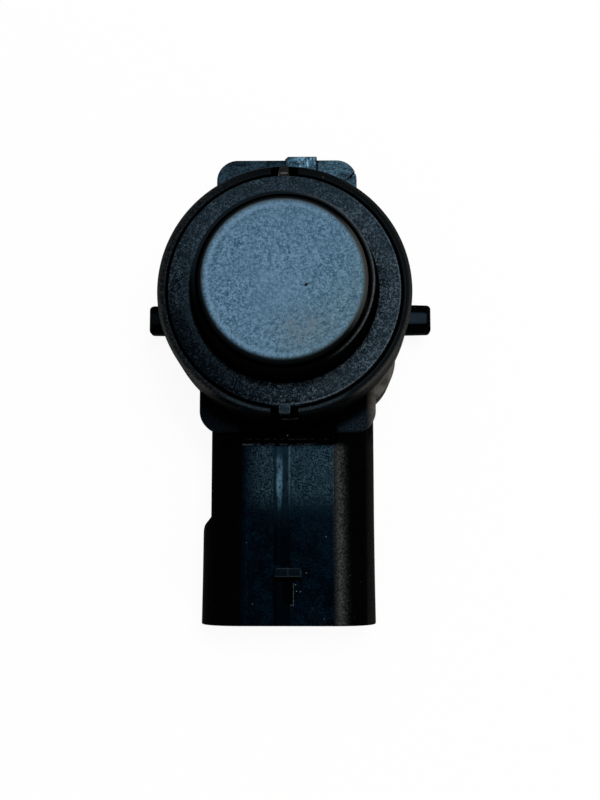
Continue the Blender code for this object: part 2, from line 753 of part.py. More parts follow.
def decoupling_sleeve(parts, material):
    """The soft sleeve that holds the cup and keeps its sound out of the housing."""
    lip_z = RING_FACE_Z + SLEEVE_LIP_RISE
    groove_radius = CUP_COLLAR_RADIUS + SEAT_GAP
    sleeve = turned("decoupling_sleeve", [
        (SLEEVE_TOP_RADIUS - SLEEVE_EDGE, SLEEVE_TOP_Z),
        (SLEEVE_TOP_RADIUS, SLEEVE_TOP_Z - SLEEVE_EDGE),
        (SLEEVE_TOP_RADIUS, lip_z + SLEEVE_LIP),
        (SLEEVE_LIP_RADIUS, lip_z),
        (SLEEVE_LIP_RADIUS, RING_SEAT_Z),
        (SLEEVE_BASE_RADIUS, RING_SEAT_Z),
        (SLEEVE_BASE_RADIUS, SLEEVE_REAR_Z),
        (PARTITION_OPENING_RADIUS, SLEEVE_REAR_Z),
        (PARTITION_OPENING_RADIUS, SLEEVE_FLOOR_Z),
        (groove_radius, SLEEVE_FLOOR_Z),
        (groove_radius, SLEEVE_GROOVE_Z),
        (SLEEVE_BORE_RADIUS, SLEEVE_GROOVE_Z),
        (SLEEVE_BORE_RADIUS, SLEEVE_TOP_Z),
    ], parts, closed=True)
    return finish(sleeve, material)


def membrane_cup(parts, material):
    """The drawn metal cup whose front wall is the sounding membrane, open at the rear."""
    edge_radius = CUP_RADIUS - CUP_EDGE_RADIUS
    edge_z = MEMBRANE_Z - CUP_EDGE_RADIUS
    cup = turned("membrane_cup", [
        (0.0, MEMBRANE_Z),
        *arc_profile(edge_radius, edge_z, CUP_EDGE_RADIUS, math.pi / 2, 0.0, 3),
        (CUP_RADIUS, CUP_COLLAR_Z),
        (CUP_COLLAR_RADIUS, CUP_COLLAR_Z),
        (CUP_COLLAR_RADIUS, CUP_REAR_Z),
        (CUP_BORE_RADIUS, CUP_REAR_Z),
        (CUP_BORE_RADIUS, CUP_INSIDE_Z),
        (0.0, CUP_INSIDE_Z),
    ], parts)
    return finish(cup, material)


def pin_places():
    return [-PIN_SPACING / 2, PIN_SPACING / 2]


def piezo_disc(parts, material):
    outline = circle(0.0, 0.0, PIEZO_RADIUS, ROUND_STEPS // 2)
    return finish(extruded("piezo_disc", [outline], PIEZO_REAR_Z, PIEZO_TOP_Z, parts), material)


def wire_channels():
    return [circle(x, 0.0, WIRE_CHANNEL_RADIUS, FINE_ROUND_STEPS // 2) for x in pin_places()]


def damping_felt(parts, guides, material):
    """The felt behind the piezo disc, with a channel for each wire and a groove to the cup wall."""
    outlines = [circle(0.0, 0.0, CUP_FILL_RADIUS), *wire_channels()]
    felt = extruded("damping_felt", outlines, FELT_REAR_Z, FELT_TOP_Z, parts)
    groove = extruded("ground_groove", [rectangle(
        pin_places()[1],
        CUP_FILL_RADIUS + OVERRUN,
        -WIRE_CHANNEL_RADIUS * 0.7,
        WIRE_CHANNEL_RADIUS * 0.7,
    )], FELT_REAR_Z - OVERRUN, FELT_REAR_Z + 2 * WIRE_CHANNEL_RADIUS, guides)
    combine(felt, [groove], 'DIFFERENCE')
    return finish(felt, material)


def cup_filling(parts, material):
    outlines = [circle(0.0, 0.0, CUP_FILL_RADIUS), *wire_channels()]
    filling = extruded("cup_filling", outlines, FILLING_REAR_Z, FILLING_TOP_Z, parts)
    return finish(filling, material)


def contact_carrier(parts, guides, material):
    """The moulded carrier in the cup's rear opening, which holds the two contact pins."""
    carrier = turned("contact_carrier", [
        (0.0, CARRIER_TOP_Z),
        (CUP_FILL_RADIUS, CARRIER_TOP_Z),
        (CUP_FILL_RADIUS, CARRIER_HEAD_Z),
        (CARRIER_NECK_RADIUS, CARRIER_HEAD_Z),
        (CARRIER_NECK_RADIUS, CHAMBER_ROOF_Z),
        (0.0, CHAMBER_ROOF_Z),
    ], parts)
    half = PIN_SIZE / 2 + BOND_GAP
    holes = []
    for index, x in enumerate(pin_places()):
        outline = rectangle(x - half, x + half, -half, half)
        name = f"carrier_hole_{index}"
        holes.append(extruded(name, [outline], CHAMBER_ROOF_Z - OVERRUN, CARRIER_TOP_Z + OVERRUN, guides))
    combine(carrier, holes, 'DIFFERENCE')
    return finish(carrier, material)


def contact_pins(parts, material):
    half = PIN_SIZE / 2
    for name, x in zip(["contact_pin_left", "contact_pin_right"], pin_places()):
        outline = rectangle(x - half, x + half, -half, half)
        finish(extruded(name, [outline], BOARD_REAR_Z - PIN_TAIL, PIN_TOP_Z, parts), material)


def wire(name, places, parts, material):
    curve = bpy.data.curves.new(name, 'CURVE')
    curve.dimensions = '3D'
    curve.bevel_depth = WIRE_RADIUS
    curve.bevel_resolution = 2
    curve.use_fill_caps = True
    spline = curve.splines.new('POLY')
    spline.points.add(len(places) - 1)
    for point, place in zip(spline.points, places):
        point.co = (*place, 1.0)
    drawing = add_object(name + "_route", curve, parts)
    mesh = evaluated_mesh(drawing)
    bpy.data.objects.remove(drawing, do_unlink=True)
    work = bmesh.new()
    work.from_mesh(mesh)
    bmesh.ops.remove_doubles(work, verts=work.verts, dist=WELD_DISTANCE)
    bmesh.ops.recalc_face_normals(work, faces=work.faces)
    work.to_mesh(mesh)
    work.free()
    return finish(add_object(name, mesh, parts), material)


def signal_wire(parts, material):
    """From the left pin to the rear of the piezo disc, slightly bowed in its channel."""
    start = PIN_TOP_Z + BOND_GAP
    end = PIEZO_REAR_Z - BOND_GAP
    steps = 8
    places = []
    for step in range(steps + 1):
        share = step / steps
        bow = WIRE_SLACK * math.sin(math.pi * share)
        places.append((pin_places()[0], bow, start + (end - start) * share))
    return wire("signal_wire", places, parts, material)


def ground_wire(parts, material):
    """From the right pin through the felt's groove to the wall of the cup."""
    x = pin_places()[1]
    start = PIN_TOP_Z + BOND_GAP
    level = FELT_REAR_Z + WIRE_CHANNEL_RADIUS
    bend = WIRE_CHANNEL_RADIUS - WIRE_RADIUS
    steps = 4
    places = [(x, 0.0, start)]
    for step in range(steps + 1):
        angle = math.pi / 2 * step / steps
        places.append((x + bend * (1 - math.cos(angle)), 0.0, level - bend * (1 - math.sin(angle))))
    places.append((CUP_BORE_RADIUS - SEAT_GAP, 0.0, level))
    return wire("ground_wire", places, parts, material)


def circuit_board(parts, material):
    """The board seats against the chamber's corner ledges and takes the blades and pins in its holes."""
    holes = []
    for x in blade_places():
        half_width = BLADE_WIDTH / 2 + BOND_GAP
        half_thickness = BLADE_THICKNESS / 2 + BOND_GAP
        bottom = BLADE_BEND_Y - half_thickness
        holes.append(rectangle(x - half_width, x + half_width, bottom, BLADE_BEND_Y + half_thickness))
    for x in pin_places():
        half = PIN_SIZE / 2 + BOND_GAP
        holes.append(rectangle(x - half, x + half, -half, half))
    outlines = [chamber_outline(SEAT_GAP), *holes]
    return finish(extruded("circuit_board", outlines, BOARD_REAR_Z, BOARD_FRONT_Z, parts), material)


def terminal_blades(parts, material):
    """Blades that stand in the socket, run through the wall and bend up into the board."""
    half = BLADE_THICKNESS / 2
    tip = -(SOCKET_FLOOR + BLADE_LENGTH)
    tip_half = half * BLADE_TIP_SHARE
    top = BOARD_FRONT_Z + BLADE_TAIL
    outline = rounded_outline([
        (tip, BLADE_Z - tip_half, 0.0),
        (tip + BLADE_TAPER, BLADE_Z - half, 0.0),
        (BLADE_BEND_Y + half, BLADE_Z - half, BLADE_BEND_RADIUS + BLADE_THICKNESS),
        (BLADE_BEND_Y + half, top, 0.0),
        (BLADE_BEND_Y - half, top, 0.0),
        (BLADE_BEND_Y - half, BLADE_Z + half, BLADE_BEND_RADIUS),
        (tip + BLADE_TAPER, BLADE_Z + half, 0.0),
        (tip, BLADE_Z + tip_half, 0.0),
    ], 4)
    for index, x in enumerate(blade_places()):
        name = f"terminal_blade_{index + 1}"
        blade = extruded(name, [outline], x - BLADE_WIDTH / 2, x + BLADE_WIDTH / 2, parts, axis='X')
        finish(blade, material)


def transformer(parts, ferrite, copper):
    """A drum core with its winding, which raises the voltage that drives the piezo disc."""
    foot = BOARD_FRONT_Z + BOND_GAP
    top = foot + TRANSFORMER_HEIGHT
    flange_top = foot + TRANSFORMER_FLANGE
    flange_rear = top - TRANSFORMER_FLANGE
    place = CHAMBER_HALF_HEIGHT - TRANSFORMER_INSET - TRANSFORMER_RADIUS
    core = turned("transformer_core", [
        (0.0, top),
        (TRANSFORMER_RADIUS, top),
        (TRANSFORMER_RADIUS, flange_rear),
        (TRANSFORMER_POST_RADIUS, flange_rear),
        (TRANSFORMER_POST_RADIUS, flange_top),
        (TRANSFORMER_RADIUS, flange_top),
        (TRANSFORMER_RADIUS, foot),
        (0.0, foot),
    ], parts, steps=FINE_ROUND_STEPS)
    core.location.y = place
    finish(core, ferrite)
    winding = turned("transformer_winding", [
        (TRANSFORMER_RADIUS - WINDING_INSET, flange_rear - BOND_GAP),
        (TRANSFORMER_RADIUS - WINDING_INSET, flange_top + BOND_GAP),
        (TRANSFORMER_POST_RADIUS + BOND_GAP, flange_top + BOND_GAP),
        (TRANSFORMER_POST_RADIUS + BOND_GAP, flange_rear - BOND_GAP),
    ], parts, closed=True, steps=FINE_ROUND_STEPS)
    winding.location.y = place
    finish(winding, copper)


def storage_capacitor(parts, material):
    foot = BOARD_FRONT_Z + BOND_GAP
    top = foot + STORAGE_CAPACITOR_HEIGHT
    groove = STORAGE_CAPACITOR_GROOVE
    radius = STORAGE_CAPACITOR_RADIUS
    can = turned("storage_capacitor", [
        (0.0, top),
        (radius - groove, top),
        (radius, top - groove),
        (radius, foot + 3 * groove),
        (radius - groove, foot + 2 * groove),
        (radius, foot + groove),
        (radius, foot),
        (0.0, foot),
    ], parts, steps=FINE_ROUND_STEPS)
    can.location.x = COMPONENT_REACH - radius
    can.location.y = FIRST_COMPONENT_Y + radius
    return finish(can, material)


def surface_part(name, x, y, size, parts, material, on_front=True):
    """A block-shaped component on the front or the rear of the board."""
    width, length, height = size
    bpy.ops.mesh.primitive_cube_add(size=1.0)
    block = bpy.context.object
    block.name = name
    block.data.name = name
    for collection in list(block.users_collection):
        collection.objects.unlink(block)
    parts.objects.link(block)
    for vertex in block.data.vertices:
        vertex.co = (vertex.co.x * width, vertex.co.y * length, vertex.co.z * height)
    if on_front:
        z = BOARD_FRONT_Z + BOND_GAP + height / 2
    else:
        z = BOARD_REAR_Z - BOND_GAP - height / 2
    block.location = (x, y, z)
    bevel(block, COMPONENT_EDGE, 1)
    return finish(block, material)


def component_column(side, first_y, components, parts):
    """Components one behind the other along a side wall of the chamber, from the blades inward."""
    start = first_y
    for name, size, material in components:
        x = side * (COMPONENT_REACH - size[0] / 2)
        surface_part(name, x, start + size[1] / 2, size, parts, material)
        start += size[1] + COMPONENT_SPACING


def surface_parts(parts, epoxy, ceramic, resistor):
    component_column(-1, FIRST_COMPONENT_Y, [
        ("controller_chip", CHIP_SIZE, epoxy),
        ("line_resistor", RESISTOR_SIZE, resistor),
        ("tuning_capacitor", TUNING_CAPACITOR_SIZE, ceramic),
    ], parts)
    can_end = FIRST_COMPONENT_Y + 2 * STORAGE_CAPACITOR_RADIUS
    component_column(1, can_end + COMPONENT_SPACING, [
        ("damping_resistor", RESISTOR_SIZE, resistor),
        ("supply_capacitor", SUPPLY_CAPACITOR_SIZE, ceramic),
    ], parts)
    surface_part("protection_diode", 0.0, -REAR_COMPONENT_Y, DIODE_SIZE, parts, epoxy, on_front=False)
    surface_part("line_transistor", 0.0, REAR_COMPONENT_Y, TRANSISTOR_SIZE, parts, epoxy, on_front=False)


def rear_potting(parts, material):
    """The compound that closes the chamber, level with the housing's rear face."""
    potting = extruded("rear_potting", [chamber_outline(SEAT_GAP)], 0.0, POTTING_FRONT_Z, parts)
    return finish(potting, material)


def build():
    clear_scene()
    parts = make_collection("parking_sensor")
    guides = make_collection("cutters")
    plastic = make_material("moulded_black_plastic", (0.020, 0.022, 0.025), 0.42)
    ring_plastic = make_material("textured_black_plastic", (0.024, 0.027, 0.031), 0.60)
    silicone = make_material("black_silicone", (0.008, 0.008, 0.009), 0.55)
    paint = make_material("blue_grey_paint", (0.089, 0.171, 0.254), 0.38)
    piezo = make_material("piezo_ceramic", (0.42, 0.38, 0.30), 0.60)
    felt = make_material("grey_felt", (0.16, 0.16, 0.15), 0.95)
    foam = make_material("silicone_foam", (0.30, 0.29, 0.27), 0.85)
    carrier = make_material("carrier_plastic", (0.05, 0.05, 0.05), 0.50)
    tin = make_material("tinned_brass", (0.62, 0.58, 0.50), 0.30, 1.0)
    copper = make_material("copper_wire", (0.72, 0.30, 0.16), 0.35, 1.0)
    laminate = make_material("green_laminate", (0.02, 0.12, 0.05), 0.45)
    ferrite = make_material("ferrite", (0.05, 0.05, 0.055), 0.65)
    can = make_material("aluminium_can", (0.75, 0.75, 0.76), 0.30, 1.0)
    epoxy = make_material("black_epoxy", (0.015, 0.015, 0.016), 0.45)
    ceramic = make_material("tan_ceramic", (0.36, 0.24, 0.14), 0.55)
    resistor = make_material("resistor_glaze", (0.03, 0.03, 0.035), 0.35)
    potting = make_material("potting_compound", (0.015, 0.015, 0.016), 0.30)

    housing(parts, guides, plastic)
    cover_ring(parts, guides, ring_plastic)
    decoupling_sleeve(parts, silicone)
    membrane_cup(parts, paint)
    piezo_disc(parts, piezo)
    damping_felt(parts, guides, felt)
    cup_filling(parts, foam)
    contact_carrier(parts, guides, carrier)
    contact_pins(parts, tin)
    signal_wire(parts, copper)
    ground_wire(parts, copper)
    circuit_board(parts, laminate)
    terminal_blades(parts, tin)
    transformer(parts, ferrite, copper)
    storage_capacitor(parts, can)
    surface_parts(parts, epoxy, ceramic, resistor)
    rear_potting(parts, potting)


build()
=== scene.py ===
"""Looks of the parking sensor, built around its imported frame. Shapes are made in millimetres."""

import math

import bmesh
import bpy
from mathutils import Matrix, Vector


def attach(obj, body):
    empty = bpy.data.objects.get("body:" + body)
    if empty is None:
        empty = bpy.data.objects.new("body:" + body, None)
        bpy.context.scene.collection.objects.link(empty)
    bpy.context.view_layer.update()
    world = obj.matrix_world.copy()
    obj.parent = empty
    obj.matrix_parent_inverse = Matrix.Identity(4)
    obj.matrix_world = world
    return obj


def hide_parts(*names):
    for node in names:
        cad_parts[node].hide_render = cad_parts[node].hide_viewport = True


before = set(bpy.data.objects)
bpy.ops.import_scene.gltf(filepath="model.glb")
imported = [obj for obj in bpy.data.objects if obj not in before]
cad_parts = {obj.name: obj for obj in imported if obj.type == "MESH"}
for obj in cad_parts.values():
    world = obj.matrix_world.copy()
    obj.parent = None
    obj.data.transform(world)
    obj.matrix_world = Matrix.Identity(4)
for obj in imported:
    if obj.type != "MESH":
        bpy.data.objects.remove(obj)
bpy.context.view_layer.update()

MM = 0.001
WHITE = (1.0, 1.0, 1.0)
SHARP_ANGLE = math.radians(35)

# Camera, in millimetres and degrees
CAMERA_PLACE = (3.51, -25.07, 135.82)
CAMERA_LEAN = 6.8
CAMERA_SIDE = 0.95
FOCAL_LENGTH = 54.81

# Lamps: place, target and size in metres, power in watts, and colour
LAMPS = {
    "key": ((0.09, 0.104, 0.61), (0.09, 0.104, 0.0), (0.2, 0.214), 2.73, WHITE),
    "side_key": ((-0.031, 0.021, 0.61), (-0.031, 0.021, 0.0), (0.038, 0.048), 0.075, WHITE),
    "strip": ((0.155, -0.02, 0.6), (0.0, -0.01, 0.01), (0.035, 0.3), 0.22, (1.0, 0.88, 0.76)),
    "fill": ((0.42, -0.3, 0.16), (0.0, -0.01, 0.01), (0.3, 0.2), 0.4, (1.0, 0.95, 0.88)),
}
SKY_LIGHT = 0.3
FLOOR_HALF = 3.0
FLOOR_DROP = 0.0001
FLOOR_TONE = 0.88
FLOOR_WHITENESS = 0.93

# Sizes in millimetres, the main ones as in the solids
CUP_RADIUS = 8.1
CUP_EDGE = 0.35
COLLAR_RADIUS = 9.0
COLLAR_Z = 14.8
CUP_REAR_Z = 13.6
CUP_BORE = 7.2
CUP_INSIDE_Z = 22.0
MEMBRANE_Z = 22.8
SLEEVE_BORE = 8.4
SLEEVE_RADIUS = 8.75
SLEEVE_TOP_Z = 22.2
LIP_RADIUS = 9.05
LIP_Z = 18.15
SLEEVE_BASE = 10.6
SLEEVE_REAR_Z = 12.5
GROOVE_RADIUS = 9.3
GROOVE_Z = (13.3, 15.1)
RING_INNER = 9.35
RING_OUTER = 11.5
RING_REAR_Z = 16.0
RING_Z = 18.0
RING_SEAT_Z = 15.7
RIM_INNER = 11.8
RIM_Z = 17.7
FOOT_RADIUS = 12.8
FOOT_Z = 9.0
SLEEVE_POCKET = 10.9
KEY_REAR_Z = 16.4
SLOT_FLOOR_Z = 16.1
SLOT_HALF = 1.375
SLOT_REACH = 12.9
SLOT_WALL_Y = 12.2
SLOT_WALL_Z = 17.3
PARTITION_Z = 12.2
ROOF_Z = 10.8
OPENING_RADIUS = 6.2
BODY_X = (-11.0, 11.4)
BODY_Y = (-10.9, 10.9)
BODY_CORNER = 5.3
BODY_LEFT_CORNER = 6.6
BODY_EDGE = 0.7
BODY_Z = 9.7
CHAMBER_HALF = (9.4, 9.1)
CHAMBER_CORNER = 3.5
LEDGE_RADIUS = 9.05
LEDGE_Z = 7.3
FLANGE_Z = (8.6, 10.0)
FLANGE_EDGE = 0.12
EAR_Y = (-13.5, -7.0)
EAR_CORNER = 2.3
LEFT_EAR_X = (-9.05, -4.9)
RIGHT_EAR_X = (5.2, 9.29)
PLATE_HALF = 7.43
PLATE_Y = (5.0, 15.67)
TAB_X = (-0.2, 3.2)
TAB_Y = (12.43, 15.82)
TAB_Z = 10.8
SHROUD_X = 0.15
SHROUD_Z = (0.3, 9.6)
SHROUD_HALF = 9.06
SHROUD_FLARE = 0.14
SHROUD_ROOT_Y = -10.0
SHROUD_FRONT_CORNER = 4.3
SHROUD_REAR_CORNER = 2.0
SOCKET_WALL = 1.3
SOCKET_HALF = 9.05
PANEL_Y = -14.56
MOUTH_Y = -33.3
SOCKET_FLOOR_Y = -22.4
POCKET_HALF = 5.05
POCKET_FLOOR_Z = 6.5
SEAM_X = 0.17
RIB_X = (-1.34, 0.12)
RIB_Z = 9.72
LATCH_X = (-1.18, 1.56)
LATCH_Y = (-28.3, -27.38)
LATCH_Z = (8.9, 10.4)
LATCH_SLOT_X = (-0.3, 0.66)
LUG_Y = -0.5
LUG_ROOT = 10.3
LUG_TIP = {1: 15.6, -1: 15.2}
BLADE_X = (-3.85, 0.15, 4.15)
BLADE_SLOT_HALF = 0.75
BLADE_SLOT_Z = (4.5, 5.4)
CORE_WIDTH = 4.0
CORE_GAP = 1.2

PINS = ("contact_pin_left", "contact_pin_right")
BLADES = ("terminal_blade_1", "terminal_blade_2", "terminal_blade_3")
WINDINGS = ("signal_wire", "ground_wire", "transformer_winding")
CHIPS = ("controller_chip", "protection_diode", "line_transistor")
CAPACITORS = ("tuning_capacitor", "supply_capacitor")
RESISTORS = ("line_resistor", "damping_resistor")

# Pieces inside: nodes, the coat's name, its two colours and roughness, and some with metal, scale and relief
INNER_COATS = [
    (PINS + BLADES, "tinned_contact", (0.62, 0.6, 0.55), (0.52, 0.49, 0.44), 0.32, 1.0, 3.0, 0.004),
    (WINDINGS, "copper_winding", (0.7, 0.3, 0.16), (0.55, 0.22, 0.11), 0.38, 1.0, 6.0, 0.02),
    (["circuit_board"], "green_board", (0.015, 0.1, 0.04), (0.03, 0.14, 0.06), 0.45, 0.0, 1.2),
    (["piezo_disc"], "piezo_ceramic_face", (0.4, 0.36, 0.29), (0.45, 0.41, 0.33), 0.6),
    (["damping_felt"], "grey_felt_fibres", (0.12, 0.12, 0.11), (0.2, 0.2, 0.18), 0.95, 0.0, 5.0, 0.08),
    (["cup_filling"], "pale_silicone_foam", (0.26, 0.25, 0.23), (0.33, 0.32, 0.3), 0.85, 0.0, 4.0, 0.05),
    (["contact_carrier"], "grey_carrier", (0.045, 0.045, 0.045), (0.06, 0.06, 0.058), 0.5),
    (["transformer_core"], "dark_ferrite", (0.04, 0.04, 0.045), (0.06, 0.06, 0.062), 0.65),
    (["storage_capacitor"], "aluminium_sleeve", (0.74, 0.74, 0.75), (0.66, 0.66, 0.68), 0.3, 1.0),
    (CHIPS, "chip_epoxy", (0.012, 0.012, 0.013), (0.02, 0.02, 0.021), 0.5, 0.0, 6.0),
    (CAPACITORS, "tan_capacitor", (0.33, 0.22, 0.13), (0.4, 0.27, 0.16), 0.5),
    (RESISTORS, "resistor_glaze_dark", (0.025, 0.025, 0.03), (0.04, 0.04, 0.045), 0.35),
]

# The coats of the housing's faces, in the order of its material slots
# The last coat is black painted as shade, for the slots and the pocket
GRAINED, PLAIN, WORN, POLISHED, PAINTED_SHADE = range(5)

# Colour of the painted reflection stripe along the shroud's right shoulder
SHOULDER_REFLECTION = (0.045, 0.0485, 0.0495)


def add_object(name, data):
    item = bpy.data.objects.new(name, data)
    bpy.context.scene.collection.objects.link(item)
    return item


def solid(points, faces, name="part"):
    """A closed body from points and faces, with its normals outwards."""
    mesh = bpy.data.meshes.new(name)
    mesh.from_pydata([Vector(point) for point in points], [], faces)
    work = bmesh.new()
    work.from_mesh(mesh)
    bmesh.ops.remove_doubles(work, verts=work.verts, dist=1e-5)
    bmesh.ops.recalc_face_normals(work, faces=work.faces)
    work.to_mesh(mesh)
    work.free()
    return add_object(name, mesh)


def arc(centre, radius, start, end, steps):
    """Points of an arc, with its angles in degrees."""
    points = []
    for step in range(steps + 1):
        angle = math.radians(start + (end - start) * step / steps)
        points.append((centre[0] + radius * math.cos(angle), centre[1] + radius * math.sin(angle)))
    return points


def rounded(corners, steps=8):
    """An outline from corners given as (x, y, radius), counter-clockwise."""
    points = []
    for index, (x, y, radius) in enumerate(corners):
        corner = Vector((x, y))
        if radius <= 0.0:
            points.append(corner)
            continue
        before = (Vector(corners[index - 1][:2]) - corner).normalized()
        after = (Vector(corners[(index + 1) % len(corners)][:2]) - corner).normalized()
        half = before.angle(after) / 2
        centre = corner + (before + after).normalized() * radius / math.sin(half)
        start = corner + before * radius / math.tan(half) - centre
        end = corner + after * radius / math.tan(half) - centre
        first = math.atan2(start.y, start.x)
        sweep = (math.atan2(end.y, end.x) - first + math.pi) % (2 * math.pi) - math.pi
        for step in range(steps + 1):
            angle = first + sweep * step / steps
            points.append(centre + radius * Vector((math.cos(angle), math.sin(angle))))
    return points


def box_outline(left, right, low, high, radii=0.0, steps=8):
    """A box with one radius for its corners, or four, counter-clockwise from the lower left."""
    if not isinstance(radii, tuple):
        radii = (radii,) * 4
    corners = ((left, low), (right, low), (right, high), (left, high))
    return rounded([(x, y, radius) for (x, y), radius in zip(corners, radii)], steps)


def inset(outline, distance):
    """The outline moved inwards by a distance, with the same number of points."""
    moved = []
    for index, point in enumerate(outline):
        point = Vector(point)
        before = (point - Vector(outline[index - 1])).normalized()
        after = (Vector(outline[(index + 1) % len(outline)]) - point).normalized()
        first = Vector((-before.y, before.x))
        middle = (first + Vector((-after.y, after.x))).normalized()
        moved.append(point + middle * distance / max(middle.dot(first), 0.35))
    return moved


def loft(rings, name="part"):
    """A closed body through rings of points, all with the same number of points."""
    count = len(rings[0])
    points = [point for ring in rings for point in ring]
    faces = [list(range(count)), list(range(len(points) - count, len(points)))]
    for ring in range(len(rings) - 1):
        base = ring * count
        for index in range(count):
            following = (index + 1) % count
            faces.append([base + index, base + following, base + count + following, base + count + index])
    return solid(points, faces, name)


def on_axis(point, place, axis):
    """A point of an outline, put at a place along the axis."""
    if axis == 'Z':
        return (point[0], point[1], place)
    if axis == 'Y':
        return (point[0], place, point[1])
    return (place, point[0], point[1])


def prism(outline, start, end, start_edge=0.0, end_edge=0.0, axis='Z', steps=4):
    """An outline extruded along an axis, with rounded edges at its start and its end."""
    levels = []
    if start_edge > 0.0:
        for inward, along in arc((0.0, 0.0), start_edge, 90, 0, steps):
            levels.append((start_edge - inward, start + start_edge - along))
    else:
        levels.append((0.0, start))
    if end_edge > 0.0:
        for inward, along in arc((0.0, 0.0), end_edge, 0, 90, steps):
            levels.append((end_edge - inward, end - end_edge + along))
    else:
        levels.append((0.0, end))
    rings = []
    for distance, place in levels:
        rings.append([on_axis(point, place, axis) for point in inset(outline, distance)])
    return loft(rings)


def lathe(profile, name="part", closed=False, steps=192):
    """A profile of (radius, z) points turned round the Z axis."""
    points = []
    rings = []
    for radius, z in profile:
        first = len(points)
        if radius < 1e-6:
            points.append((0.0, 0.0, z))
            rings.append([first])
            continue
        for step in range(steps):
            angle = 2 * math.pi * step / steps
            points.append((radius * math.cos(angle), radius * math.sin(angle), z))
        rings.append(list(range(first, first + steps)))
    pairs = list(zip(rings, rings[1:]))
    if closed:
        pairs.append((rings[-1], rings[0]))
    faces = []
    for lower, upper in pairs:
        for index in range(steps):
            following = (index + 1) % steps
            corners = [
                lower[index % len(lower)],
                lower[following % len(lower)],
                upper[following % len(upper)],
                upper[index % len(upper)],
            ]
            face = list(dict.fromkeys(corners))
            if len(face) > 2:
                faces.append(face)
    return solid(points, faces, name)


def combine(item, others, operation):
    """Join the others to the item, or cut them out of it."""
    for other in others:
        modifier = item.modifiers.new(other.name, 'BOOLEAN')
        modifier.operation = operation
        modifier.solver = 'EXACT'
        modifier.object = other
    bpy.context.view_layer.update()
    depsgraph = bpy.context.evaluated_depsgraph_get()
    mesh = bpy.data.meshes.new_from_object(item.evaluated_get(depsgraph))
    item.modifiers.clear()
    item.data = mesh
    for other in others:
        bpy.data.objects.remove(other, do_unlink=True)


def dress(item, nodes, materials):
    """Turn a piece into metres, shade it, and let it stand for its nodes of the frame."""
    mesh = item.data
    mesh.transform(Matrix.Scale(MM, 4))
    mesh.name = item.name
    for material in materials:
        mesh.materials.append(material)
    mesh.shade_smooth()
    mesh.set_sharp_from_angle(angle=SHARP_ANGLE)
    normals = item.modifiers.new("normals", 'WEIGHTED_NORMAL')
    normals.keep_sharp = True
    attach(item, "root")
    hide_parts(*nodes)


def set_inputs(node, **values):
    """Set inputs of a node, named with an underscore for each space."""
    for name, value in values.items():
        node.inputs[name.replace("_", " ")].default_value = value


def operator(operation):
    """A method that computes with a field and another value."""
    return lambda field, other=0.0: field.coat.math(operation, field, other)


class Field:
    """A value that differs from place to place, such as a coordinate, a noise or a share."""

    __abs__ = operator('ABSOLUTE')
    __add__ = operator('ADD')
    __sub__ = operator('SUBTRACT')
    __mul__ = operator('MULTIPLY')
    __truediv__ = operator('DIVIDE')
    __pow__ = operator('POWER')
    __or__ = operator('MAXIMUM')
    root = operator('SQRT')

    def __init__(self, coat, socket):
        self.coat = coat
        self.socket = socket

    def ease(self, low, high, start=0.0, end=1.0):
        """The value mapped smoothly from one range to another; low may lie above high."""
        node = self.coat.nodes.new('ShaderNodeMapRange')
        node.interpolation_type = 'SMOOTHSTEP'
        self.coat.put(self, node.inputs["Value"])
        set_inputs(node, From_Min=low, From_Max=high, To_Min=start, To_Max=end)
        return Field(self.coat, node.outputs[0])

    def band(self, low, high, soft):
        """1 between two values and 0 outside them, with soft ends."""
        return self.ease(low - soft, low + soft) * self.ease(high + soft, high - soft)


